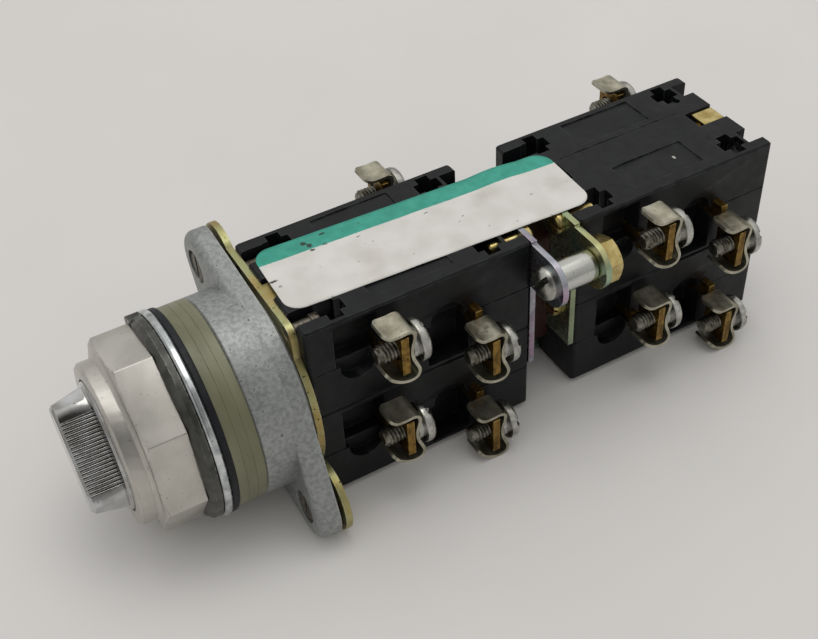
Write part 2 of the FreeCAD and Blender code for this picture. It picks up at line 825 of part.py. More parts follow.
CLAMP_LINE = [
    (-3.9, 5.95), (-2.5, 5.4), (-0.6, 5.3), (1.1, 5.35), (1.95, 4.7), (1.95, 3.3), (1.45, 1.6),
    (1.35, 0.0), (1.6, -1.5), (2.2, -3.0), (2.65, -4.5), (2.2, -5.8), (0.8, -6.25), (-1.0, -5.8),
    (-2.7, -4.7), (-3.7, -3.7),
]


def strip_face(line, thick):
    """Side view of a bent strip, in the YZ plane."""
    spots = [FreeCAD.Vector(0, y, z) for y, z in line]
    curve = Part.BSplineCurve()
    curve.interpolate(spots)
    first, last = curve.FirstParameter, curve.LastParameter
    count = 60
    upper, lower = [], []
    for index in range(count + 1):
        at = first + (last - first) * index / count
        spot = curve.value(at)
        ahead = curve.tangent(at)[0]
        normal = FreeCAD.Vector(0, -ahead.z, ahead.y) * (thick / 2.0)
        upper.append(spot + normal)
        lower.append(spot - normal)
    outer = Part.BSplineCurve()
    outer.interpolate(upper)
    inner = Part.BSplineCurve()
    inner.interpolate(lower)
    wire = Part.Wire([
        outer.toShape(),
        Part.makeLine(upper[-1], lower[-1]),
        inner.toShape(),
        Part.makeLine(lower[0], upper[0]),
    ])
    return Part.Face(wire)


def make_clamp_shape():
    wide = dim("clamp_wid").number
    strip = strip_face(CLAMP_LINE, dim("clamp_thk").number).extrude(FreeCAD.Vector(wide, 0, 0))
    corner = 1.6
    high = 5.0
    front = min(y for y, z in CLAMP_LINE) - 0.2
    arc_a = Part.Arc(
        FreeCAD.Vector(0, front + corner, -9),
        FreeCAD.Vector(corner * 0.293, front + corner * 0.293, -9),
        FreeCAD.Vector(corner, front, -9),
    ).toShape()
    arc_b = Part.Arc(
        FreeCAD.Vector(wide - corner, front, -9),
        FreeCAD.Vector(wide - corner * 0.293, front + corner * 0.293, -9),
        FreeCAD.Vector(wide, front + corner, -9),
    ).toShape()
    wire = Part.Wire([
        arc_a,
        Part.makeLine(FreeCAD.Vector(corner, front, -9), FreeCAD.Vector(wide - corner, front, -9)),
        arc_b,
        Part.makeLine(FreeCAD.Vector(wide, front + corner, -9), FreeCAD.Vector(wide, high, -9)),
        Part.makeLine(FreeCAD.Vector(wide, high, -9), FreeCAD.Vector(0, high, -9)),
        Part.makeLine(FreeCAD.Vector(0, high, -9), FreeCAD.Vector(0, front + corner, -9)),
    ])
    envelope = Part.Face(wire).extrude(FreeCAD.Vector(0, 0, 18))
    centre = FreeCAD.Vector(wide / 2, 0, 0)
    hole = Part.makeCylinder(dim("screw_rad").number + 0.15, 6, centre, FreeCAD.Vector(0, 1, 0))
    washer_seat = Part.makeCylinder(3.0, 6, centre + FreeCAD.Vector(0, 1.8, 0), FreeCAD.Vector(0, 1, 0))
    return strip.common(envelope).cut(hole).cut(washer_seat)


def make_terminal_parts():
    plate_up = make_terminal_master("terminal_raised", True)
    plate_down = make_terminal_master("terminal_sunk", False)
    doc.recompute()
    clamp = doc.addObject("Part::Feature", "clamp_master")
    clamp.Shape = make_clamp_shape()
    screw = new_body("terminal_screw")
    radius = dim("screw_rad")
    turned(screw, outline(
        (-5.2, 0),
        (5.5, 0),
        (5.5, dim("screw_head") - 1.1),
        (5.05, dim("screw_head") - 0.35),
        (4.4, dim("screw_head")),
        (3.2, dim("screw_head")),
        (3.2, 2.9),
        (1.85, 2.9),
        (1.85, radius),
        (-4.7, radius),
        (-5.2, radius - 0.5),
    ))
    cut(screw, "Y", 4.5, 6.5, rect(-0.6, -5, 0.6, 5))
    inset = side + dim("pole_reach") - dim("clamp_wid")
    level = dim("pole_high") - mid
    for name, y in (("a", block_front), ("b", second_front)):
        clamps, screws = [], []
        for tier, z in (("upper", size(0)), ("lower", -block_thk)):
            plates = []
            for master, station, turn in (
                (plate_up, dim("pole_y_one"), 0),
                (plate_down, dim("pole_y_two"), 0),
                (plate_up, dim("pole_y_one"), 180),
                (plate_down, dim("pole_y_two"), 180),
            ):
                plates.append((master, (0, y + station, z + mid, turn)))
                raised = (master is plate_up) == (turn == 0)
                height = z + mid + (level if raised else -level)
                x_clamp = inset if turn == 0 else -inset - dim("clamp_wid")
                x_screw = inset + dim("clamp_wid") / 2
                clamps.append((x_clamp, y + station, height))
                screws.append((x_screw if turn == 0 else -x_screw, y + station, height))
            links = []
            for master, spot in plates:
                link = doc.addObject("App::Link", "terminal_item")
                link.LinkedObject = master
                place(link, *spot)
                links.append(link)
            bunch = doc.addObject("Part::Compound", "terminals")
            bunch.Links = links
            node(bunch, "terminals_%s_%s" % (name, tier))
        group("saddle_clamps_%s" % name, clamp, clamps)
        group("terminal_screws_%s" % name, screw, screws)


def make_fixing_screws():
    master = new_body("fixing_screw")
    turned(master, outline(
        (-1.2, 0),
        (5.4, 0),
        (5.4, 1.3),
        (5.0, 1.75),
        (3.6, 1.75),
        (3.6, 1.35),
        (-1.2, 1.35),
    ))
    cut(master, "Y", 4.7, 6, rect(-0.3, -3, 0.3, 3))
    group("block_screws", master, [(x, block_front, z) for x, z in fixing_spots()])


def plate_screw_spots():
    return [spot for index, spot in enumerate(fixing_spots()) if index != 1]


def make_plate_screws():
    master = new_body("plate_screw")
    under = 0 - dim("adapt_thk")
    turned(master, outline(
        (under - 1.5, 0),
        (6.6, 0),
        (6.6, 0.9),
        (6.2, 1.3),
        (under, 1.3),
        (under, 2.2),
        (under - 1.0, 2.2),
        (under - 1.5, 1.7),
    ))
    cut(master, "Y", under - 2, under - 0.8, rect(-3, -0.3, 3, 0.3))
    spots = [(x, pair_rear, z, 180, (0, 0, 1)) for x, z in plate_screw_spots()]
    spots.extend((x, second_front, z, 0, (0, 0, 1)) for x, z in plate_screw_spots())
    group("plate_screws", master, spots)


def make_inserts():
    master = new_body("tail_insert")
    add(master, "Z", block_thk - 4.6, block_thk - 0.25, rect(-2.35, dim("cross_y_two") + 0.7, 2.35, dim("block_len") - 1.4))
    dress(master, "PartDesign::Chamfer", 0.35, lambda e, b: near(b.ZMin, block_thk.number - 0.25))
    cut(master, "Y", 0, dim("block_len"), circle(0, block_thk - 2.5, 1.3))
    spots = []
    for front in (block_front, second_front):
        spots.append((0, front, 0))
        spots.append((0, front, -block_thk))
    group("tail_inserts", master, spots)


def make_adaptor_plate(label, y):
    body = new_body(label, 0, y, 0)
    thick = dim("adapt_thk")
    top = block_thk - 0.15
    edge = side - 0.05
    low = dim("adapt_low")
    for flip in (1, -1):
        points = [
            (-3 * size(flip), low * -flip),
            (edge * flip, low * -flip),
            (edge * flip, top * flip),
            (-3 * size(flip), top * flip),
        ]
        add(body, "Y", 0, thick, outline(*points))
        x = dim("lug_x") * flip
        z = dim("lug_z") * flip
        add(body, "Y", 0, thick, circle(x, z, dim("lug_rad")))
        corner = [
            (12 * flip, (dim("lug_z") - dim("lug_rad")) * flip),
            (x, (dim("lug_z") - dim("lug_rad")) * flip),
            (x, (dim("lug_z") + dim("lug_rad")) * flip),
            (12 * flip, (dim("lug_z") + dim("lug_rad")) * flip),
        ]
        add(body, "Y", 0, thick, outline(*corner))
    for x, z in tunnel_spots():
        cut(body, "Y", -1, thick + 1, circle(x, z, dim("rod_rad") + 0.5))
    for flip in (1, -1):
        cut(body, "Y", -1, thick + 1, circle(dim("lug_x") * flip, dim("lug_z") * flip, 1.95))
    for x, z in plate_screw_spots():
        cut(body, "Y", -1, thick + 1, circle(x, z, 1.4))
    return node(body, label)


def make_adaptor():
    make_adaptor_plate("adaptor_plate_front", pair_rear)
    make_adaptor_plate("adaptor_plate_rear", second_front - dim("adapt_thk"))
    inner = pair_rear + dim("adapt_thk")
    span = dim("pair_gap") - 2 * dim("adapt_thk")
    guide = new_body("coupling_guide", 0, inner, 0)
    add(guide, "Y", 0, span, rect(-7.4, -14.2, 7.4, 14.2))
    dress(guide, "PartDesign::Fillet", 1.5, lambda e, b: b.YLength > 3)
    for x, z in tunnel_spots():
        cut(guide, "Y", -1, span + 1, circle(x, z, dim("rod_rad") + dim("rod_play")))
    node(guide, "coupling_guide")
    sleeve = new_body("sleeve")
    tube(sleeve, 0, span, 1.95, dim("sleeve_rad"), 0.3)
    lugs = [(dim("lug_x"), dim("lug_z")), (-dim("lug_x"), -dim("lug_z"))]
    group("spacer_sleeves", sleeve, [(x, inner, z) for x, z in lugs])
    bolt = new_body("adaptor_bolt")
    turned(bolt, outline(
        (-2.6, 0),
        (dim("pair_gap") + 4.4, 0),
        (dim("pair_gap") + 4.4, 1.5),
        (dim("pair_gap") + 4.0, 1.9),
        (0, 1.9),
        (0, 3.5),
        (-0.8, 3.45),
        (-1.5, 3.1),
        (-2.1, 2.4),
        (-2.5, 1.2),
    ))
    slot = [
        (5 * cosd(55 + turn), 5 * sind(55 + turn)) for turn in (-7, 7, 173, 187)
    ]
    cut(bolt, "Y", -4, -1.3, outline(*slot))
    group("adaptor_screws", bolt, [(x, pair_rear, z) for x, z in lugs])
    nut = new_body("hex_nut")
    corner = 4.9
    points = [(corner * cosd(60 * k + 20), corner * sind(60 * k + 20)) for k in range(6)]
    add(nut, "Y", 0, 3.2, outline(*points))
    turned(nut, outline((2.7, corner + 0.25), (3.4, corner - 0.95), (4, corner + 2), (2.7, corner + 2)), kind="PartDesign::Groove")
    cut(nut, "Y", -1, 5, circle(0, 0, 1.95))
    group("adaptor_nuts", nut, [(x, second_front, z) for x, z in lugs])
    for label, z in (("coupler_upper", dim("rod_off")), ("coupler_lower", -dim("rod_off"))):
        body = new_body(label, 0, pair_rear, z)
        turned(body, rect(0, 0, dim("pair_gap"), dim("rod_rad")))
        node(body, label)


def make_label():
    body = new_body("label", -1.05, block_front + 1.0, block_thk, -2.4, (0, 0, 1))
    half = dim("label_wid") / 2
    length = dim("label_len")
    corner = size(3.5)
    add(body, "Z", 0, dim("label_thk"), outline(
        (-half + corner, 0),
        (half - corner, 0, corner),
        (half, corner),
        (half, length - corner, corner),
        (half - corner, length),
        (-half + corner, length, corner),
        (-half, length - corner),
        (-half, corner, corner),
    ))
    return node(body, "label")


def make_blocks():
    for name, y in (("a", block_front), ("b", second_front)):
        for tier, z in (("upper", size(0)), ("lower", -block_thk)):
            tag = "%s_%s" % (name, tier)
            make_base("block_base_" + tag, y, z)
            make_cover("block_cover_" + tag, y, z)
            length = dim("block_len") if name == "a" else dim("block_len") - 1.6
            make_plunger("plunger_" + tag, y, z, length)
            make_bridges("bridges_" + tag, y, z)
            make_return_spring("return_spring_" + tag, y, z)


def main():
    make_knob()
    make_shaft()
    make_cam()
    make_detent()
    make_rods()
    make_nut()
    make_stack()
    make_housing()
    make_ear_screws()
    make_mounting_plate()
    make_blocks()
    make_terminal_parts()
    make_fixing_screws()
    make_plate_screws()
    make_inserts()
    make_adaptor()
    make_label()
    doc.recompute()
    troubled = [thing.Name for thing in doc.Objects if "Invalid" in thing.State or "Error" in thing.State]
    if troubled:
        raise RuntimeError("not computed: %s" % troubled)
    os.makedirs("parts", exist_ok=True)
    for thing in NODES:
        shape = thing.Shape
        if shape.isNull() or not shape.isValid():
            raise RuntimeError("bad shape: %s" % thing.Label)
        shape.exportStep("parts/%s.step" % thing.Label)
        box = shape.BoundBox
        print("%-26s solids %2d volume %9.1f x %.1f %.1f y %.1f %.1f z %.1f %.1f" % (
            thing.Label, len(shape.Solids), shape.Volume,
            box.XMin, box.XMax, box.YMin, box.YMax, box.ZMin, box.ZMax,
        ))


main()
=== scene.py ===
"""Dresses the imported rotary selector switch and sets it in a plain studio.

The frame holds the solids of the switch, in metres, with +Y from the knob to the rear, +X to the
near terminals and +Z to the label. Each class below stands for one sub-assembly: it holds its
sizes in millimetres, builds its meshes and gives them their finishes.
"""

import json
import logging
import math
from dataclasses import dataclass, field
from enum import Enum
from typing import Any

import bmesh
import bpy
from mathutils import Matrix, Vector

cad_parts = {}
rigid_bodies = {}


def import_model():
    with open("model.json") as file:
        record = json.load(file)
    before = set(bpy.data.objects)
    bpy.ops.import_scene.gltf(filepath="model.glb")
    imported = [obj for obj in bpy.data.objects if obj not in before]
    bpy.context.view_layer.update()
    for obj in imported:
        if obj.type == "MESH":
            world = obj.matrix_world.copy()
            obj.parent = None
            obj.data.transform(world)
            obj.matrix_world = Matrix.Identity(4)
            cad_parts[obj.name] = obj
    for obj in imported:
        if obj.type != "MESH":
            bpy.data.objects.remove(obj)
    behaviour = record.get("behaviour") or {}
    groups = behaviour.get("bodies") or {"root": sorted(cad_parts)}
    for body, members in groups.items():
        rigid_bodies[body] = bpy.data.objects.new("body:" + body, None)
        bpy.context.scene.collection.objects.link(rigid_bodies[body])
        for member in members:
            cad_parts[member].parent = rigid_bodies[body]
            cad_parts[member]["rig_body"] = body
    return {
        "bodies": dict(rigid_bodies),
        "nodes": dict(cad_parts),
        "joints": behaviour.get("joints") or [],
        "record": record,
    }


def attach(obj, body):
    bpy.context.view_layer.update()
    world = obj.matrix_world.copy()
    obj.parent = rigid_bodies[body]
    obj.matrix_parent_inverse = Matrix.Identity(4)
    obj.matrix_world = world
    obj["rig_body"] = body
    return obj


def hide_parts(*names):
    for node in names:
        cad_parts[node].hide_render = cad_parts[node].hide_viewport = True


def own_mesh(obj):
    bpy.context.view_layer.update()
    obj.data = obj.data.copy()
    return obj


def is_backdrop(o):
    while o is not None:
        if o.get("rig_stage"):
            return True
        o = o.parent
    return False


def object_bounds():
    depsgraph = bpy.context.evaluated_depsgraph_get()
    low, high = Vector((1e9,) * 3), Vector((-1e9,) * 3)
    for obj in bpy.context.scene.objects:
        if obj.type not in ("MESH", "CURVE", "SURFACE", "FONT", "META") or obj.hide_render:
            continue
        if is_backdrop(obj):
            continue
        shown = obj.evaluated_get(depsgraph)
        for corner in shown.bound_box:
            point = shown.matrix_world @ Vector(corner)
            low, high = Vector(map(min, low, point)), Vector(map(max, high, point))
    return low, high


LOG = logging.getLogger("selector_switch")
MM = 0.001
WELD_MM = 0.002
FLAT_DEG = 0.4
ROUND_FROM_DEG = 32.0
SMOOTH_DEG = 35.0
GLOW_REACH_MM = 1.2
GLOW_TINT = (1.0, 0.95, 0.7)
Tree = bpy.types.NodeTree
Mesh = bmesh.types.BMesh


def linearise(code: str) -> tuple[float, float, float, float]:
    """Turns an sRGB hex colour into linear light.

    Args:
        code: Colour such as "#3DB39A".

    Returns:
        Linear red, green and blue, and an alpha of 1.
    """
    digits = code.lstrip("#")
    parts = [int(digits[i : i + 2], 16) / 255.0 for i in (0, 2, 4)]
    lin = [p / 12.92 if p <= 0.04045 else ((p + 0.055) / 1.055) ** 2.4 for p in parts]
    return (lin[0], lin[1], lin[2], 1.0)


def add_node(
    tree: Tree,
    kind: str,
    inputs: dict[Any, Any] | None = None,
    output: int | str = 0,
    **settings: Any,
) -> bpy.types.NodeSocket:
    """Adds a shader node with its settings, and its inputs as values or links.

    Args:
        tree: Node tree that gets the node.
        kind: Node type without its "ShaderNode", such as "Bump".
        inputs: Socket name or number to a value, or to the output that feeds it.
        output: Name or number of the output that is handed back.
        settings: Node properties by name.

    Returns:
        The chosen output of the new node.
    """
    made = tree.nodes.new("ShaderNode" + kind)
    for name, value in settings.items():
        setattr(made, name, value)
    for key, value in (inputs or {}).items():
        socket = made.inputs[key]
        if isinstance(value, bpy.types.NodeSocket):
            tree.links.new(value, socket)
        else:
            socket.default_value = value
    return made.outputs[output]


def corner_reach(half: float, corner: float, from_end: float) -> float:
    """Half width of a strip near an end that has rounded corners.

    Args:
        half: Half of the strip's full width.
        corner: Radius of the corners.
        from_end: Distance from the nearer end.

    Returns:
        The half width there.
    """
    if from_end >= corner:
        return half
    return half - corner + math.sqrt(max(corner**2 - (corner - from_end) ** 2, 0.0))


def cloud(
    tree: Tree, place: Any, size_mm: float, detail: float = 3.0, squeeze: Any = None
) -> Any:
    """Soft random pattern whose patches have a real size.

    Args:
        tree: Node tree of the finish.
        place: Coordinates in metres.
        size_mm: Size of one patch.
        detail: How many finer layers it has.
        squeeze: Stretch of the coordinates along X, Y and Z, or None.

    Returns:
        A value that centres on one half.
    """
    if squeeze is not None:
        place = add_node(tree, "Mapping", {0: place, 3: squeeze})
    inputs = {"Vector": place, "Scale": 1.0 / (size_mm * MM), "Detail": detail}
    return add_node(tree, "TexNoise", inputs, noise_dimensions="3D")


def edge_share(tree: Tree, place: Any, reach_mm: float, patch_mm: float) -> Any:
    """Share of wear, high along outer edges and broken up as handling leaves it.

    Args:
        tree: Node tree of the finish.
        place: Coordinates in metres.
        reach_mm: How far the wear reaches from an edge.
        patch_mm: Size of one worn stretch.

    Returns:
        A value from 0 on the flat to 1 on a worn edge.
    """
    rounded = add_node(tree, "Bevel", {"Radius": reach_mm * MM}, samples=4)
    flat = add_node(tree, "NewGeometry", output="Normal")
    both = {0: rounded, 1: flat}
    alike = add_node(tree, "VectorMath", both, "Value", operation="DOT_PRODUCT")
    near_edge = add_node(tree, "MapRange", {0: alike, 1: 0.995, 2: 0.90})
    broken = {0: cloud(tree, place, patch_mm, 5.0), 1: 0.42, 2: 0.60}
    patches = add_node(tree, "MapRange", broken)
    return add_node(tree, "Math", {0: near_edge, 1: patches}, operation="MULTIPLY")


def near_mark(tree: Tree, place: Any, mark: tuple[float, ...]) -> Any:
    """Share of one single mark, such as a smudge, with a ragged outline.

    Args:
        tree: Node tree of the finish.
        place: Coordinates in metres.
        mark: Centre and half size in millimetres, six numbers, and then the strength.

    Returns:
        A value from 0 outside the mark to its strength inside.
    """
    centre = tuple(c * MM for c in mark[0:3])
    half = tuple(c * MM for c in mark[3:6])
    moved = add_node(tree, "VectorMath", {0: place, 1: centre}, operation="SUBTRACT")
    sized = add_node(tree, "VectorMath", {0: moved, 1: half}, operation="DIVIDE")
    away = add_node(tree, "VectorMath", {0: sized}, "Value", operation="LENGTH")
    uneven = {0: cloud(tree, place, 0.45, 4.0), 1: 1.5, 2: away}
    ragged = add_node(tree, "Math", uneven, operation="MULTIPLY_ADD")
    return add_node(tree, "MapRange", {0: ragged, 1: 1.45, 2: 1.85, 3: mark[6], 4: 0.0})


@dataclass(frozen=True)
class Finish:
    """Two tones in soft patches, a grain that breaks the gloss, specks, worn edges and marks.

    Names that end in _mm are real sizes. A squeeze under 1 draws a pattern out along that axis.
    """

    name: str
    tone: str
    shade: str
    metallic: float
    roughness: float
    patch_mm: float = 5.0
    rough_span: float = 0.08
    grain_mm: float = 0.4
    grain_deep_mm: float = 0.01
    speck: str = ""
    speck_mm: float = 0.5
    speck_from: float = 0.66
    worn: str = ""
    worn_reach_mm: float = 0.3
    worn_patch_mm: float = 1.5
    ior: float = 0.0
    gloss_level: float = 0.5
    squeeze: tuple[float, float, float] = (1.0, 1.0, 1.0)
    subsurface: float = 0.0
    mark_tone: str = "#23241F"
    marks: tuple[tuple[float, ...], ...] = ()

    def covered(self, tree: Tree, under: Any, share: Any, tone: str) -> Any:
        """Lays one tone over a colour by a share."""
        inputs = {0: share, 6: under, 7: linearise(tone)}
        return add_node(tree, "Mix", inputs, 2, data_type="RGBA")

    def colour(self, tree: Tree, place: Any) -> Any:
        """Colour of the bare surface, before specks and wear.

        Args:
            tree: Node tree of the finish.
            place: Coordinates in metres.

        Returns:
            The colour output.
        """
        patches = cloud(tree, place, self.patch_mm, 5.0, self.squeeze)
        share = add_node(tree, "MapRange", {0: patches, 1: 0.36, 2: 0.64})
        return self.covered(tree, linearise(self.shade), share, self.tone)

    def aged(self, tree: Tree, place: Any, colour: Any) -> Any:
        """Adds specks, worn edges and single marks to a colour.

        Args:
            tree: Node tree of the finish.
            place: Coordinates in metres.
            colour: Colour of the bare surface.

        Returns:
            The colour output.
        """
        if self.speck:
            bits = cloud(tree, place, self.speck_mm, 2.0)
            span = {0: bits, 1: self.speck_from, 2: self.speck_from + 0.05}
            colour = self.covered(tree, colour, add_node(tree, "MapRange", span), self.speck)
        if self.worn:
            share = edge_share(tree, place, self.worn_reach_mm, self.worn_patch_mm)
            colour = self.covered(tree, colour, share, self.worn)
        for mark in self.marks:
            colour = self.covered(tree, colour, near_mark(tree, place, mark), self.mark_tone)
        return colour

    def rough(self, tree: Tree, place: Any) -> Any:
        """Roughness that drifts with handling.

        Args:
            tree: Node tree of the finish.
            place: Coordinates in metres.

        Returns:
            The roughness output.
        """
        smear = cloud(tree, place, self.patch_mm * 0.4, 6.0, self.squeeze)
        low, high = self.roughness - self.rough_span, self.roughness + self.rough_span
        return add_node(tree, "MapRange", {0: smear, 1: 0.3, 2: 0.7, 3: low, 4: high})

    def relief(self, tree: Tree, place: Any) -> Any:
        """Fine grain of the surface.

        Args:
            tree: Node tree of the finish.
            place: Coordinates in metres.

        Returns:
            The normal output.
        """
        grain = cloud(tree, place, self.grain_mm, 3.0, self.squeeze)
        inputs = {"Strength": 1.0, "Distance": self.grain_deep_mm * MM, "Height": grain}
        return add_node(tree, "Bump", inputs)

    def make(self) -> bpy.types.Material:
        """Builds the material.

        Returns:
            The node material of this finish.
        """
        made = bpy.data.materials.new(self.name)
        made.use_nodes = True
        tree = made.node_tree
        shader = tree.nodes["Principled BSDF"]
        place = add_node(tree, "TexCoord", output="Object")
        bare = self.colour(tree, place)
        tree.links.new(self.aged(tree, place, bare), shader.inputs["Base Color"])
        tree.links.new(self.rough(tree, place), shader.inputs["Roughness"])
        tree.links.new(self.relief(tree, place), shader.inputs["Normal"])
        shader.inputs["Metallic"].default_value = self.metallic
        if self.ior:
            shader.inputs["IOR"].default_value = self.ior
            shader.inputs["Specular IOR Level"].default_value = self.gloss_level
        if self.subsurface:
            shader.inputs["Subsurface Weight"].default_value = self.subsurface
            shader.inputs["Subsurface Radius"].default_value = GLOW_TINT
            shader.inputs["Subsurface Scale"].default_value = GLOW_REACH_MM * MM
        return made


@dataclass(frozen=True)
class Chromate(Finish):
    """Thin chromate film over zinc, whose depth drifts, and so its tint, through pale hues."""

    tint: str = "#C9A5B8"
    tint_two: str = "#A9B98F"
    tint_mm: float = 6.0

    def colour(self, tree: Tree, place: Any) -> Any:
        """Bare colour, drifting between the base tones and two film tints.

        Args:
            tree: Node tree of the finish.
            place: Coordinates in metres.

        Returns:
            The colour output.
        """
        base = super().colour(tree, place)
        thin = cloud(tree, place, self.tint_mm, 2.0)
        first = add_node(tree, "MapRange", {0: thin, 1: 0.45, 2: 0.62, 4: 0.85})
        deep = cloud(tree, place, self.tint_mm * 1.37, 2.0)
        second = add_node(tree, "MapRange", {0: deep, 1: 0.48, 2: 0.62, 4: 0.8})
        return self.covered(
            tree, self.covered(tree, base, first, self.tint), second, self.tint_two
        )


@dataclass(frozen=True)
class LabelPaper(Finish):
    """Coated paper with one printed stripe along an edge, stained and flecked by years of use."""

    stripe: str = "#2F8E7C"
    stripe_light: str = "#3A9C8A"
    stripe_share: float = 0.235
    stain: str = "#B3A88F"
    fleck: str = "#4A4A42"
    ink_mm: float = 2.2
    stain_mm: float = 9.0
    fleck_mm: float = 0.9

    def colour(self, tree: Tree, place: Any) -> Any:
        """Paper, stripe, stains and flecks, the stripe placed by the label's own UV map.

        Args:
            tree: Node tree of the finish.
            place: Coordinates in metres.

        Returns:
            The colour output.
        """
        paper = super().colour(tree, place)
        uv = add_node(tree, "TexCoord", output="UV")
        across = add_node(tree, "SeparateXYZ", {0: uv})
        uneven = {0: cloud(tree, place, 0.5, 2.0), 1: 0.010, 2: across}
        wobble = add_node(tree, "Math", uneven, operation="MULTIPLY_ADD")
        edge = self.stripe_share
        span = {0: wobble, 1: edge, 2: edge + 0.008, 3: 1.0, 4: 0.0}
        striped = add_node(tree, "MapRange", span)
        drift = {0: cloud(tree, place, self.ink_mm, 4.0), 1: 0.35, 2: 0.65}
        share = add_node(tree, "MapRange", drift)
        ink = self.covered(tree, linearise(self.stripe), share, self.stripe_light)
        printed = add_node(tree, "Mix", {0: striped, 6: paper, 7: ink}, 2, data_type="RGBA")
        soil = {0: cloud(tree, place, self.stain_mm, 6.0), 1: 0.54, 2: 0.74, 4: 0.22}
        tones = {0: add_node(tree, "MapRange", soil), 6: printed, 7: linearise(self.stain)}
        stained = add_node(tree, "Mix", tones, 2, data_type="RGBA", blend_type="MULTIPLY")
        dust = cloud(tree, place, self.fleck_mm, 3.0, (1.0, 0.45, 1.0))
        flecks = add_node(tree, "MapRange", {0: dust, 1: 0.695, 2: 0.73, 4: 0.8})
        return self.covered(tree, stained, flecks, self.fleck)


class Coat(Enum):
    """The finishes of the switch, by what each real part is made of."""

    # Chrome-plated die casting: sharp bright reflections, black where the room is dark.
    CHROME = Finish(
        "chrome_plated_casting", "#C2C3C4", "#A2A19E", 1.0, 0.13, patch_mm=4.0, rough_span=0.05,
        grain_mm=0.8, grain_deep_mm=0.002, speck="#77716A", speck_mm=1.1, speck_from=0.71,
        worn="#C9C7C2", worn_patch_mm=0.8,
    )
    # Tumbled aluminium nut: soft broad highlights, dull grey scuffs on its corners.
    NUT = Finish(
        "tumbled_aluminium", "#CBC8C1", "#B4B1AA", 0.92, 0.42, patch_mm=9.0, rough_span=0.05,
        grain_mm=0.28, grain_deep_mm=0.006, speck="#8A8781", speck_mm=0.75, speck_from=0.70,
        worn="#8F8C86", worn_reach_mm=0.45, worn_patch_mm=1.1,
    )
    # Dark passivated steel ring: half gloss, slightly brown, lighter where it was rubbed.
    DARK_RING = Finish(
        "black_passivated_steel", "#50504C", "#383935", 0.55, 0.36, patch_mm=3.0,
        grain_deep_mm=0.006, worn="#9FA09C", worn_reach_mm=0.30, worn_patch_mm=0.7,
    )
    # Bright zinc washer: the lightest metal of the stack, with fine radial dirt.
    ZINC = Finish(
        "bright_zinc_plate", "#D6DADA", "#A6ACAD", 1.0, 0.24, patch_mm=2.2, rough_span=0.10,
        grain_mm=0.25, grain_deep_mm=0.005, speck="#55564F", speck_mm=0.4, speck_from=0.68,
    )
    # Moulded rubber gasket: blue black with a broad weak sheen.
    RUBBER = Finish(
        "moulded_rubber", "#13161B", "#0B0D12", 0.0, 0.55, patch_mm=3.0, grain_mm=0.3,
        grain_deep_mm=0.01, ior=1.52, gloss_level=0.3,
    )
    # Moulded nylon rings: greenish grey, light passes a little way into them.
    NYLON = Finish(
        "moulded_nylon", "#76765E", "#65654E", 0.0, 0.40, patch_mm=5.0, grain_mm=0.6,
        grain_deep_mm=0.004, ior=1.53, gloss_level=0.4, subsurface=0.2, speck="#55543F",
        speck_mm=0.8, speck_from=0.70, squeeze=(0.4, 1.0, 0.4),
    )
    # Zinc die casting, left raw: mottled grey, pitted and dulled by oxide.
    CASTING = Finish(
        "raw_zinc_die_casting", "#9FA2A1", "#868987", 0.70, 0.50, patch_mm=0.9, rough_span=0.09,
        grain_mm=0.35, grain_deep_mm=0.02, speck="#6F716F", speck_mm=0.9, speck_from=0.67,
        worn="#B4B5B3", worn_reach_mm=0.5, worn_patch_mm=1.6,
    )
    # Yellow chromated steel plate: straw tint, rubbed to bright zinc and black at its edges.
    YELLOW = Chromate(
        "yellow_chromate_steel", "#B3A776", "#92854F", 0.85, 0.42, patch_mm=2.5, grain_mm=0.3,
        grain_deep_mm=0.006, speck="#3B3828", speck_mm=0.8, speck_from=0.665, worn="#C9C8B4",
        worn_reach_mm=0.30, worn_patch_mm=0.9, tint="#A8925C", tint_two="#A3A97C",
    )
    # Clear chromate on the front adaptor plate: grey blue going to lilac.
    LILAC = Chromate(
        "clear_chromate_steel", "#AEB0B6", "#918C98", 0.95, 0.26, patch_mm=4.0, grain_mm=0.3,
        grain_deep_mm=0.004, worn="#C9CBCB", worn_patch_mm=1.0, tint="#B594AE", tint_two="#A3AEB4",
    )
    # Heavier film on the rear adaptor plate: pale green going to straw.
    GREEN = Chromate(
        "green_chromate_steel", "#A9B58F", "#8A967A", 0.95, 0.26, patch_mm=4.0, grain_mm=0.3,
        grain_deep_mm=0.004, worn="#C9D0B8", worn_patch_mm=1.0, tint="#8FB0A0", tint_two="#B5B07C",
    )
    # Zinc-plated screws: light, turned, with a dull bloom.
    SCREW = Finish(
        "zinc_plated_steel", "#BDBDB7", "#93928B", 1.0, 0.30, patch_mm=1.6, rough_span=0.08,
        grain_mm=0.3, grain_deep_mm=0.005, speck="#66645A", speck_mm=0.5, speck_from=0.68,
    )
    # Turned spacer sleeves: clean bright zinc with faint streaks along their length.
    SLEEVE = Finish(
        "turned_zinc_sleeve", "#C9CAC4", "#A8A9A2", 1.0, 0.20, patch_mm=2.4, rough_span=0.05,
        grain_mm=0.4, grain_deep_mm=0.003, speck="#76746A", speck_mm=0.5, speck_from=0.70,
        squeeze=(1.0, 0.15, 1.0),
    )
    # Screw threads: oily zinc, dark in the roots and dull on the crests.
    THREAD = Finish(
        "oily_cut_thread", "#8F8C82", "#5A574D", 1.0, 0.38, patch_mm=1.2, rough_span=0.08,
        grain_mm=0.3, grain_deep_mm=0.005, speck="#3A372E", speck_mm=0.5, speck_from=0.66,
    )
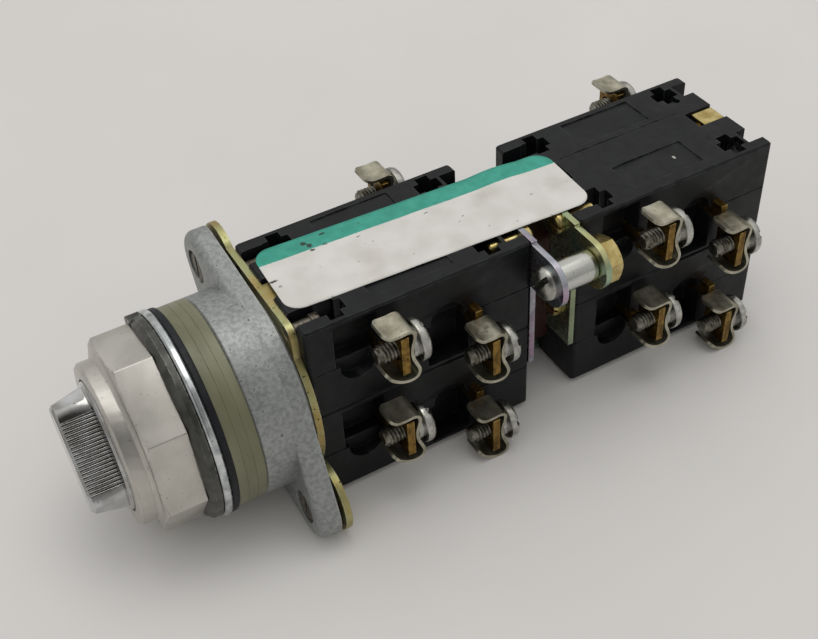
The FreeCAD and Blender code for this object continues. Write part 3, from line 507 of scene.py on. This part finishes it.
    # Screws whose zinc has gone: brown oxide with grey steel between.
    OXIDISED = Finish(
        "oxidised_steel", "#6E6960", "#453D33", 0.75, 0.46, patch_mm=1.0, rough_span=0.10,
        grain_mm=0.3, grain_deep_mm=0.012, speck="#70503A", speck_mm=0.7, speck_from=0.68,
        worn="#A7A49B", worn_reach_mm=0.2, worn_patch_mm=0.8,
    )
    # Nickel-plated saddle clamps: warm grey going olive, satin from the press.
    CLAMP = Finish(
        "nickel_plated_pressing", "#B9B5A3", "#8F8B78", 0.95, 0.36, patch_mm=2.6, grain_mm=0.4,
        grain_deep_mm=0.006, worn="#D3D0C2", worn_reach_mm=0.2, speck="#6A6450", speck_mm=0.6,
        speck_from=0.68,
    )
    # Brass plates, aged: brown gold with darker tarnish and rubbed edges.
    BRASS = Finish(
        "tarnished_brass", "#947638", "#5F4822", 1.0, 0.40, patch_mm=1.6, rough_span=0.10,
        grain_mm=0.3, grain_deep_mm=0.006, speck="#33270F", speck_mm=0.6, speck_from=0.64,
        worn="#C6B27A", worn_reach_mm=0.22, worn_patch_mm=0.8,
    )
    # Brass nuts and inserts, less touched: pale yellow.
    BRASS_PALE = Finish(
        "turned_brass", "#CDBD84", "#AC965A", 1.0, 0.32, patch_mm=2.0, rough_span=0.08,
        grain_mm=0.3, grain_deep_mm=0.005, speck="#66542A", speck_mm=0.5, speck_from=0.67,
    )
    # Compression-moulded phenolic: near black, dusty satin, grey rubbed edges.
    PHENOLIC = Finish(
        "black_moulded_phenolic", "#121416", "#0C0D0F", 0.0, 0.44, patch_mm=5.0, rough_span=0.09,
        grain_mm=0.35, grain_deep_mm=0.006, speck="#2A2B2B", speck_mm=0.45, speck_from=0.70,
        worn="#3E4041", worn_reach_mm=0.30, worn_patch_mm=2.5, ior=1.6, gloss_level=0.17,
        mark_tone="#B9B8B2", marks=((7.9, 106.4, 21.5, 0.5, 0.35, 0.8, 0.9),),
    )
    # Dark red phenolic guide between the pairs, deep in shade.
    RED_PHENOLIC = Finish(
        "red_moulded_phenolic", "#3C1714", "#26100E", 0.0, 0.40, patch_mm=4.0, ior=1.6,
        gloss_level=0.3,
    )
    # Acetal plungers and cam: milky and smooth.
    ACETAL = Finish(
        "natural_acetal", "#E6E4DC", "#D8D5CA", 0.0, 0.33, patch_mm=6.0, ior=1.48, subsurface=0.2,
    )
    # Coated label paper: soft white, half matt, with small dents, smudges and a stained front edge.
    PAPER = LabelPaper(
        "coated_label_paper", "#D2D0CC", "#C6C4BF", 0.0, 0.50, patch_mm=7.0, grain_mm=1.6,
        grain_deep_mm=0.03, ior=1.5, gloss_level=0.35,
        marks=(
            (-7.8, 30.8, 21.6, 0.60, 0.60, 2.0, 0.9),
            (-6.7, 31.6, 21.6, 0.65, 0.60, 2.0, 0.9),
            (-5.2, 31.5, 21.6, 0.35, 0.55, 2.0, 0.95),
            (-8.6, 35.1, 21.6, 0.30, 0.75, 2.0, 0.9),
            (-5.5, 34.3, 21.6, 0.40, 0.60, 2.0, 0.5),
            (-0.9, 21.2, 21.6, 0.35, 0.95, 2.0, 0.95),
            (1.0, 21.9, 21.6, 0.30, 0.45, 2.0, 0.5),
            (-9.2, 77.9, 21.6, 0.9, 1.3, 2.0, 0.45),
        ),
    )


def round_edges(piece: bpy.types.Object, round_mm: float, from_deg: float, segments: int) -> Any:
    """Adds a bevel that rounds the sharper edges of a piece.

    Args:
        piece: Piece to round.
        round_mm: Width of the rounding.
        from_deg: Edges that turn by more than this are rounded.
        segments: Steps of the rounding.

    Returns:
        The modifier.
    """
    rounding = piece.modifiers.new("edge_rounding", "BEVEL")
    rounding.width = round_mm * MM
    rounding.segments = segments
    rounding.limit_method = "ANGLE"
    rounding.angle_limit = math.radians(from_deg)
    rounding.harden_normals = True
    return rounding


class Workshop:
    """Keeps the frame, hands out finishes, and turns frame solids into softened pieces."""

    def __init__(self, frame: dict[str, Any]) -> None:
        """Notes the frame's nodes and the slot of each.

        Args:
            frame: The loaded frame.
        """
        self.nodes = frame["nodes"]
        self.slots = {row["node"]: row["material_slot"] for row in frame["record"]["subparts"]}
        self.made: dict[Coat, bpy.types.Material] = {}

    def coat(self, coat: Coat) -> bpy.types.Material:
        """Material of a finish, built once."""
        if coat not in self.made:
            self.made[coat] = coat.value.make()
        return self.made[coat]

    def paint(self, node: str, coat: Coat) -> None:
        """Gives its finish to a frame node that stays.

        Args:
            node: Frame node.
            coat: Its finish.
        """
        mesh = self.nodes[node].data
        mesh.materials.clear()
        mesh.materials.append(self.coat(coat))
        LOG.info("painted %s as %s", node, coat.value.name)

    def place(
        self, name: str, shape: Mesh, coat: Coat, *nodes: str, smooth_deg: float = SMOOTH_DEG
    ) -> bpy.types.Object:
        """Makes a piece of a mesh, in place of one or more frame nodes.

        Args:
            name: Name of the piece.
            shape: Mesh in metres, in the frame's own axes. It is freed.
            coat: Finish of the piece.
            nodes: Frame nodes that the piece stands for. It rides on the body of the first.
            smooth_deg: Edges that turn by more than this stay sharp.

        Returns:
            The new object.
        """
        mesh = bpy.data.meshes.new(name)
        shape.to_mesh(mesh)
        shape.free()
        mesh.materials.append(self.coat(coat))
        mesh.polygons.foreach_set("use_smooth", [True] * len(mesh.polygons))
        mesh.set_sharp_from_angle(angle=math.radians(smooth_deg))
        piece = bpy.data.objects.new(name, mesh)
        bpy.context.scene.collection.objects.link(piece)
        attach(piece, self.nodes[nodes[0]]["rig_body"])
        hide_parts(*nodes)
        LOG.info("built %s, %d faces", name, len(mesh.polygons))
        return piece

    def solid(self, node: str) -> Mesh:
        """Copy of a frame node as one welded mesh with whole flat faces.

        Args:
            node: Frame node.

        Returns:
            The welded mesh, in metres.
        """
        shape = bmesh.new()
        shape.from_mesh(self.nodes[node].data)
        bmesh.ops.remove_doubles(shape, verts=shape.verts, dist=WELD_MM * MM)
        bmesh.ops.dissolve_limit(
            shape, angle_limit=math.radians(FLAT_DEG), use_dissolve_boundaries=False,
            verts=shape.verts, edges=shape.edges, delimit={"NORMAL"},
        )
        return shape

    def soften(
        self, node: str, coat: Coat, round_mm: float, segments: int = 2
    ) -> bpy.types.Object:
        """Stands a copy with rounded edges in for a frame node.

        Args:
            node: Frame node.
            coat: Finish of the copy.
            round_mm: Width of the edge rounding.
            segments: Steps of the rounding.

        Returns:
            The new object.
        """
        piece = self.place(node + "_dressed", self.solid(node), coat, node)
        round_edges(piece, round_mm, ROUND_FROM_DEG, segments)
        return piece


@dataclass
class Operator:
    """Knob, nut, rings and cast housing on the panel side."""

    shop: Workshop
    fine: tuple[tuple[str, Coat, float, int], ...] = (
        ("knob", Coat.CHROME, 0.12, 2),
        ("mounting_nut", Coat.NUT, 0.35, 3),
        ("locating_ring", Coat.DARK_RING, 0.18, 2),
        ("bright_washer", Coat.ZINC, 0.12, 2),
        ("gasket", Coat.RUBBER, 0.15, 2),
        ("spacer_ring_1", Coat.NYLON, 0.03, 2),
        ("spacer_ring_2", Coat.NYLON, 0.03, 2),
        ("spacer_ring_3", Coat.NYLON, 0.03, 2),
        ("operator_housing", Coat.CASTING, 0.32, 3),
        ("ear_screws", Coat.OXIDISED, 0.10, 2),
        ("mounting_plate", Coat.YELLOW, 0.14, 2),
    )
    inner: tuple[tuple[str, Coat], ...] = (
        ("operator_shaft", Coat.SCREW),
        ("swash_cam", Coat.ACETAL),
        ("detent_leaf", Coat.SCREW),
        ("push_rod_upper", Coat.ACETAL),
        ("push_rod_lower", Coat.ACETAL),
    )

    def build(self) -> None:
        """Builds and dresses every part of the operator."""
        for node, coat, round_mm, segments in self.fine:
            self.shop.soften(node, coat, round_mm, segments)
        for node, coat in self.inner:
            self.shop.paint(node, coat)


@dataclass
class ContactBlocks:
    """Moulded housings of the two pairs of blocks, with what moves in them."""

    shop: Workshop
    edge_mm: float = 0.28
    insert_edge_mm: float = 0.12
    screw_edge_mm: float = 0.08
    travel_mm: float = 1.6
    sides: tuple[str, ...] = ("a_upper", "a_lower", "b_upper", "b_lower")

    def spring(self, side: str) -> None:
        """Builds a return spring as a copy of its frame node, with a mesh of its own.

        Args:
            side: Pair and tier of the block, such as "a_upper".
        """
        node = "return_spring_" + side
        coil = self.shop.place(node + "_dressed", self.shop.solid(node), Coat.SCREW, node)
        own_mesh(coil)

    def build(self) -> None:
        """Builds and dresses the blocks."""
        for side in self.sides:
            self.shop.soften("block_base_" + side, Coat.PHENOLIC, self.edge_mm)
            self.shop.soften("block_cover_" + side, Coat.PHENOLIC, self.edge_mm)
            self.shop.paint("plunger_" + side, Coat.ACETAL)
            self.shop.paint("bridges_" + side, Coat.BRASS)
            self.spring(side)
        self.shop.soften("tail_inserts", Coat.BRASS_PALE, self.insert_edge_mm)
        self.shop.soften("block_screws", Coat.OXIDISED, self.screw_edge_mm)
        self.shop.soften("plate_screws", Coat.BRASS_PALE, self.screw_edge_mm)


@dataclass
class Adaptor:
    """Plates, guide, sleeves and bolts that join the front pair to the rear pair."""

    shop: Workshop
    fine: tuple[tuple[str, Coat, float], ...] = (
        ("adaptor_plate_front", Coat.LILAC, 0.12),
        ("adaptor_plate_rear", Coat.GREEN, 0.12),
        ("coupling_guide", Coat.RED_PHENOLIC, 0.15),
        ("spacer_sleeves", Coat.SLEEVE, 0.15),
        ("adaptor_screws", Coat.SCREW, 0.12),
        ("adaptor_nuts", Coat.BRASS_PALE, 0.18),
    )
    couplers: tuple[str, ...] = ("coupler_upper", "coupler_lower")

    def build(self) -> None:
        """Builds and dresses the adaptor."""
        for node, coat, round_mm in self.fine:
            self.shop.soften(node, coat, round_mm)
        for coupler in self.couplers:
            self.shop.paint(coupler, Coat.ACETAL)


@dataclass
class ScrewShape:
    """A slotted pan-head screw along Y, its head to the rear."""

    thread_r: float = 1.88
    thread_deep: float = 0.32
    pitch: float = 0.72
    tip_y: float = -4.7
    seat_y: float = 1.85
    head: tuple[tuple[float, float], ...] = (
        (1.85, 0.0), (1.85, 2.9), (3.2, 2.9), (3.2, 3.95), (3.35, 4.1), (4.15, 4.1),
        (4.6, 3.98), (5.0, 3.62), (5.3, 3.05), (5.45, 2.3), (5.5, 1.2), (5.5, 0.0),
    )
    slot_half: float = 0.6
    slot_floor: float = 4.35
    steps: int = 40
    thread_steps: int = 18
    close: float = 0.002

    def revolve(
        self, shape: Mesh, chain: list[bmesh.types.BMVert], steps: int
    ) -> dict[str, Any]:
        """Spins a chain of vertices once about the Y axis, open at its seam."""
        edges = [shape.edges.new(pair) for pair in zip(chain, chain[1:])]
        return bmesh.ops.spin(
            shape, geom=[*chain, *edges], cent=(0, 0, 0), axis=(0, 1, 0), dvec=(0, 0, 0),
            angle=math.tau, steps=steps, use_merge=False, use_duplicate=False,
        )

    def make_head(self) -> Mesh:
        """Turned head with a slot sawn across it.

        Returns:
            Closed mesh, in millimetres.
        """
        shape = bmesh.new()
        self.revolve(shape, [shape.verts.new((r, y, 0)) for y, r in self.head], self.steps)
        bmesh.ops.remove_doubles(shape, verts=shape.verts, dist=0.001)
        planes = (
            ((self.slot_half, 0, 0), (1, 0, 0)),
            ((-self.slot_half, 0, 0), (1, 0, 0)),
            ((0, self.slot_floor, 0), (0, 1, 0)),
        )
        for point, normal in planes:
            geom = [*shape.verts, *shape.edges, *shape.faces]
            bmesh.ops.bisect_plane(shape, geom=geom, dist=0.0005, plane_co=point, plane_no=normal)
        inside = [
            face for face in shape.faces
            if abs(face.calc_center_median().x) < self.slot_half
            and face.calc_center_median().y > self.slot_floor
        ]
        bmesh.ops.delete(shape, geom=inside, context="FACES")
        for wall in (-self.slot_half, self.slot_half):
            rim = [
                v for v in shape.verts
                if abs(v.co.x - wall) < self.close and v.co.y > self.slot_floor - self.close
            ]
            rim.sort(key=lambda v: math.atan2(v.co.y - self.slot_floor, v.co.z))
            shape.faces.new(rim)
        floor = [
            v for v in shape.verts
            if abs(v.co.y - self.slot_floor) < self.close
            and abs(v.co.x) < self.slot_half + self.close
        ]
        floor.sort(key=lambda v: math.atan2(v.co.z, v.co.x))
        shape.faces.new(floor)
        bmesh.ops.recalc_face_normals(shape, faces=shape.faces)
        return shape

    def make_thread(self) -> Mesh:
        """Shank with a true helical thread, rolled out of one zigzag chain.

        Returns:
            Closed mesh, in millimetres.
        """
        shape = bmesh.new()
        twist = shape.verts.layers.float.new("twist")
        root = self.thread_r - self.thread_deep
        low, high = self.tip_y, self.seat_y + 0.2
        count = int((high - low - 0.9) / self.pitch) - 1
        rows = [(low, 0.0, 0.0), (low, root - 0.2, 0.0), (low + 0.25, root, 0.0)]
        for turn in range(count):
            start = low + 0.3 + turn * self.pitch
            rows.append((start, root, 1.0))
            rows.append((start + self.pitch * 0.40, self.thread_r, 1.0))
            rows.append((start + self.pitch * 0.60, self.thread_r, 1.0))
        rows.append((low + 0.3 + count * self.pitch, root, 1.0))
        rows += [(high, root, 0.0), (high, 0.0, 0.0)]
        chain = []
        for y, r, share in rows:
            vert = shape.verts.new((r, y, 0))
            vert[twist] = share
            chain.append(vert)
        spun = self.revolve(shape, chain, self.thread_steps)
        last = {v for v in spun["geom_last"] if isinstance(v, bmesh.types.BMVert)}
        for vert in shape.verts:
            turn = math.atan2(-vert.co.z, vert.co.x) % math.tau
            if vert in last:
                turn = math.tau
            vert.co.y += vert[twist] * self.pitch * turn / math.tau
        bmesh.ops.remove_doubles(shape, verts=shape.verts, dist=0.001)
        open_edges = [e for e in shape.edges if e.is_boundary]
        if open_edges:
            bmesh.ops.holes_fill(shape, edges=open_edges, sides=0)
        bmesh.ops.recalc_face_normals(shape, faces=shape.faces)
        return shape


@dataclass
class ClampShape:
    """A bent saddle strip: flat top leaf, wavy web and rolled lower lip."""

    wide: float = 6.0
    thick: float = 0.62
    corner: float = 1.6
    rows: int = 64
    columns: int = 8
    line: tuple[tuple[float, float], ...] = (
        (-3.9, 5.95), (-2.5, 5.4), (-0.6, 5.3), (1.1, 5.35), (1.95, 4.7), (1.95, 3.3),
        (1.45, 1.6), (1.35, 0.0), (1.6, -1.5), (2.2, -3.0), (2.65, -4.5), (2.2, -5.8),
        (0.8, -6.25), (-1.0, -5.8), (-2.7, -4.7), (-3.7, -3.7),
    )

    def at(self, share: float) -> tuple[Vector, float]:
        """Point on the strip's line, and its distance from the nearer end.

        Args:
            share: How far along the line, from 0 to 1.

        Returns:
            The point and the distance, in millimetres.
        """
        spots = [Vector((0.0, y, z)) for y, z in self.line]
        steps = [(b - a).length for a, b in zip(spots, spots[1:])]
        total = sum(steps)
        left = min(max(share, 0.0), 1.0) * total
        from_end = min(left, total - left)
        index = 0
        while index < len(steps) - 1 and left > steps[index]:
            left -= steps[index]
            index += 1
        t = left / steps[index]
        p1, p2 = spots[index], spots[index + 1]
        p0 = spots[index - 1] if index > 0 else p1 * 2 - p2
        p3 = spots[index + 2] if index + 2 < len(spots) else p2 * 2 - p1
        bend = (p1 * 2 + (p2 - p0) * t + (p0 * 2 - p1 * 5 + p2 * 4 - p3) * t * t
                + (p1 * 3 - p0 - p2 * 3 + p3) * t ** 3)
        return bend * 0.5, from_end

    def make(self) -> Mesh:
        """Middle surface of the strip, its end corners rounded.

        Returns:
            Open mesh, in millimetres, from x 0 to the strip's width.
        """
        shape = bmesh.new()
        bmesh.ops.create_grid(shape, x_segments=self.columns, y_segments=self.rows, size=0.5)
        half = self.wide / 2
        for vert in shape.verts:
            share = 0.5 - 0.5 * math.cos(math.pi * (vert.co.y + 0.5))
            spot, from_end = self.at(share)
            reach = corner_reach(half, self.corner, from_end)
            vert.co = Vector((half + vert.co.x * 2 * reach, spot.y, spot.z))
        bmesh.ops.recalc_face_normals(shape, faces=shape.faces)
        return shape


@dataclass
class Terminals:
    """Brass plates, saddle clamps and screws along both sides of each block."""

    shop: Workshop
    screw: ScrewShape = field(default_factory=ScrewShape)
    clamp: ClampShape = field(default_factory=ClampShape)
    side: float = 15.13
    reach: float = 8.9
    front_y: dict[str, float] = field(default_factory=lambda: {"a": 19.6, "b": 78.27})
    stations: tuple[tuple[float, float, int], ...] = (
        (15.2, 15.9, 1), (34.2, 5.62, 1), (15.2, 5.62, -1), (34.2, 15.9, -1),
    )
    tier: float = -21.52
    plate_edge_mm: float = 0.12
    clamp_edge_mm: float = 0.14
    clamp_from_deg: float = 50.0
    screw_edge_mm: float = 0.09
    screw_from_deg: float = 55.0
    turn_first: int = 12
    turn_step: int = 47

    def spots(self, pair: str) -> list[tuple[float, float, float]]:
        """Centre of each terminal screw of a pair of blocks.

        Args:
            pair: "a" for the front pair, "b" for the rear one.

        Returns:
            The centres, in millimetres.
        """
        across = self.side + self.reach - self.clamp.wide / 2
        return [
            (across * hand, self.front_y[pair] + y, z + level)
            for level in (0.0, self.tier)
            for y, z, hand in self.stations
        ]

    def gather(
        self, master: Mesh, spots: list[tuple[float, float, float]], spin: bool
    ) -> Mesh:
        """Repeats a mesh at every spot, as one mesh in metres.

        Args:
            master: Mesh in millimetres. It is freed.
            spots: Where the copies stand.
            spin: Whether each copy is turned about its own axis by its own angle.

        Returns:
            The joined mesh.
        """
        joined = bmesh.new()
        scratch = bpy.data.meshes.new("scratch")
        master.to_mesh(scratch)
        master.free()
        for index, spot in enumerate(spots):
            before = len(joined.verts)
            joined.from_mesh(scratch)
            joined.verts.ensure_lookup_table()
            fresh = joined.verts[before:]
            degrees = (index * self.turn_step + self.turn_first) % 180 if spin else 0
            turn = Matrix.Rotation(math.radians(degrees), 4, "Y")
            move = Matrix.Translation(Vector(spot)) @ turn
            bmesh.ops.transform(joined, matrix=Matrix.Scale(MM, 4) @ move, verts=fresh)
        bpy.data.meshes.remove(scratch)
        return joined

    def clamps(self, pair: str) -> None:
        """Builds the saddle clamps of a pair of blocks as thick strips.

        Args:
            pair: "a" for the front pair, "b" for the rear one.
        """
        half = self.clamp.wide / 2
        seats = [(x - half, y, z) for x, y, z in self.spots(pair)]
        strip = self.gather(self.clamp.make(), seats, False)
        clamps = self.shop.place("clamps_" + pair, strip, Coat.CLAMP, "saddle_clamps_" + pair)
        wall = clamps.modifiers.new("strip_wall", "SOLIDIFY")
        wall.thickness = self.clamp.thick * MM
        wall.offset = 0.0
        wall.use_even_offset = True
        round_edges(clamps, self.clamp_edge_mm, self.clamp_from_deg, 2)

    def screws(self, pair: str) -> None:
        """Builds the terminal screws of a pair of blocks, heads and threads in two finishes.

        Args:
            pair: "a" for the front pair, "b" for the rear one.
        """
        spots = self.spots(pair)
        body = self.gather(self.screw.make_head(), spots, True)
        thread = self.gather(self.screw.make_thread(), spots, True)
        for face in thread.faces:
            face.material_index = 1
        scratch = bpy.data.meshes.new("scratch")
        thread.to_mesh(scratch)
        thread.free()
        body.from_mesh(scratch)
        bpy.data.meshes.remove(scratch)
        screws = self.shop.place("screws_" + pair, body, Coat.SCREW, "terminal_screws_" + pair)
        screws.data.materials.append(self.shop.coat(Coat.THREAD))
        round_edges(screws, self.screw_edge_mm, self.screw_from_deg, 2)

    def build(self) -> None:
        """Builds and dresses the terminals of both pairs."""
        for pair in ("a", "b"):
            for tier in ("upper", "lower"):
                node = "terminals_%s_%s" % (pair, tier)
                self.shop.soften(node, Coat.BRASS, self.plate_edge_mm)
            self.clamps(pair)
            self.screws(pair)


@dataclass
class PaperLabel:
    """The long paper label, stuck over both blocks and slightly lifted where it spans the gap."""

    shop: Workshop
    wide: float = 18.8
    long: float = 64.3
    corner: float = 3.5
    start: tuple[float, float, float] = (-1.05, 20.6, 21.56)
    turn_deg: float = -2.4
    thick: float = 0.12
    gap_from: float = 46.6
    gap_to: float = 57.7
    lift: float = 0.42

    def build(self) -> None:
        """Builds the label as a draped sheet with its own UV map."""
        shape = bmesh.new()
        bmesh.ops.create_grid(shape, x_segments=20, y_segments=90, size=0.5)
        layer = shape.loops.layers.uv.new("UVMap")
        half = self.wide / 2
        flat: dict[bmesh.types.BMVert, tuple[float, float]] = {}
        turn = Matrix.Rotation(math.radians(self.turn_deg), 4, "Z")
        for vert in shape.verts:
            share = 0.5 - 0.5 * math.cos(math.pi * (vert.co.y + 0.5))
            along = share * self.long
            from_end = min(along, self.long - along)
            reach = corner_reach(half, self.corner, from_end)
            across = vert.co.x * 2 * reach
            over = min(max((along - self.gap_from) / (self.gap_to - self.gap_from), 0.0), 1.0)
            rise = self.lift * math.sin(math.pi * over) * (0.55 - 0.45 * vert.co.x * 2)
            ripple = 0.03 * math.sin(along * 0.55 + across * 0.3) * math.sin(across * 0.4 + 1.0)
            spot = turn @ Vector((across, along, rise + ripple))
            vert.co = (spot + Vector(self.start)) * MM
            flat[vert] = (across / self.wide + 0.5, along / self.long)
        for face in shape.faces:
            for loop in face.loops:
                loop[layer].uv = flat[loop.vert]
        bmesh.ops.recalc_face_normals(shape, faces=shape.faces)
        label = self.shop.place("paper_label", shape, Coat.PAPER, "label", smooth_deg=60.0)
        sheet = label.modifiers.new("paper_thickness", "SOLIDIFY")
        sheet.thickness = self.thick * MM
        sheet.offset = 0.0


@dataclass
class Studio:
    """Pale floor, soft light and the camera at the photograph's angle."""

    floor_z: float
    floor_half: float = 3.0
    camera_at: tuple[float, float, float] = (0.16297, -0.03591, 0.16808)
    look: tuple[float, float, float] = (-0.65434507, 0.33777629, -0.67656464)
    up: tuple[float, float, float] = (-0.57079086, 0.3662407, 0.73489152)
    lens_mm: float = 54.38
    key_at: tuple[float, float, float] = (-0.04, 0.12, 0.60)
    key_watts: float = 0.75
    key_size: float = 0.40
    sky: float = 0.70

    def floor(self) -> None:
        """Pale paper sweep under the switch."""
        shape = bmesh.new()
        bmesh.ops.create_grid(shape, x_segments=1, y_segments=1, size=self.floor_half)
        bmesh.ops.translate(shape, verts=shape.verts, vec=(0, 0, self.floor_z))
        mesh = bpy.data.meshes.new("floor")
        shape.to_mesh(mesh)
        shape.free()
        made = bpy.data.materials.new("studio_paper")
        made.use_nodes = True
        tree = made.node_tree
        shader = tree.nodes["Principled BSDF"]
        place = add_node(tree, "TexCoord", output="Object")
        soft = add_node(tree, "MapRange", {0: cloud(tree, place, 60.0, 5.0), 1: 0.3, 2: 0.7})
        tones = {0: soft, 6: linearise("#D0CECC"), 7: linearise("#D4D2D0")}
        colour = add_node(tree, "Mix", tones, 2, data_type="RGBA")
        tree.links.new(colour, shader.inputs["Base Color"])
        shader.inputs["Roughness"].default_value = 0.9
        mesh.materials.append(made)
        floor = bpy.data.objects.new("floor", mesh)
        bpy.context.scene.collection.objects.link(floor)
        floor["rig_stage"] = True

    def light(self) -> None:
        """A soft lamp and a sky, brightest overhead and dark in mirrors towards the camera."""
        lamp = bpy.data.lights.new("key", "AREA")
        lamp.shape = "DISK"
        lamp.size = self.key_size
        lamp.energy = self.key_watts
        lamp.color = (1.0, 0.985, 0.96)
        key = bpy.data.objects.new("key", lamp)
        aim = Vector((0.0, 0.05, 0.0)) - Vector(self.key_at)
        turn = aim.to_track_quat("-Z", "Y").to_matrix().to_4x4()
        key.matrix_world = Matrix.Translation(Vector(self.key_at)) @ turn
        bpy.context.scene.collection.objects.link(key)
        world = bpy.data.worlds.new("studio")
        world.use_nodes = True
        bpy.context.scene.world = world
        tree = world.node_tree
        backdrop = tree.nodes["Background"]
        direction = add_node(tree, "TexCoord", output="Generated")
        height = add_node(tree, "SeparateXYZ", {0: direction}, 2)
        level = add_node(tree, "MapRange", {0: height, 1: -0.1, 2: 0.9, 3: 0.45, 4: 1.45})
        facing = {0: direction, 1: tuple(-c for c in self.look)}
        toward = add_node(tree, "VectorMath", facing, "Value", operation="DOT_PRODUCT")
        shade = add_node(tree, "MapRange", {0: toward, 1: 0.66, 2: 0.95, 3: 1.0, 4: 0.06})
        gloss = add_node(tree, "LightPath", output="Is Glossy Ray")
        dimmed = add_node(tree, "Mix", {0: gloss, 2: 1.0, 3: shade}, data_type="FLOAT")
        strength = add_node(tree, "Math", {0: level, 1: dimmed}, operation="MULTIPLY")
        final = add_node(tree, "Math", {0: strength, 1: self.sky}, operation="MULTIPLY")
        backdrop.inputs["Color"].default_value = linearise("#FBFAF8")
        tree.links.new(final, backdrop.inputs["Strength"])

    def camera(self) -> None:
        """Camera at the photograph's place and angle."""
        data = bpy.data.cameras.new("camera")
        data.lens = self.lens_mm
        data.sensor_width = 36.0
        data.clip_start = 0.005
        data.clip_end = 20.0
        ahead, up = Vector(self.look).normalized(), Vector(self.up).normalized()
        right = ahead.cross(up).normalized()
        up = right.cross(ahead)
        turn = Matrix((right, up, -ahead)).transposed().to_4x4()
        camera = bpy.data.objects.new("camera", data)
        camera.matrix_world = Matrix.Translation(Vector(self.camera_at)) @ turn
        bpy.context.scene.collection.objects.link(camera)
        bpy.context.scene.camera = camera

    def build(self) -> None:
        """Builds the whole studio."""
        self.floor()
        self.light()
        self.camera()
        bpy.context.scene.view_settings.view_transform = "Standard"


def main() -> None:
    """Builds the studio and every sub-assembly around the frame."""
    logging.basicConfig(level=logging.INFO, format="%(name)s: %(message)s")
    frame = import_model()
    cad_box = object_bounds()
    shop = Workshop(frame)
    Studio(floor_z=cad_box[0][2]).build()
    for kind in (Operator, ContactBlocks, Adaptor, Terminals, PaperLabel):
        kind(shop).build()
        LOG.info("finished %s", kind.__name__)


if __name__ == "__main__":
    main()
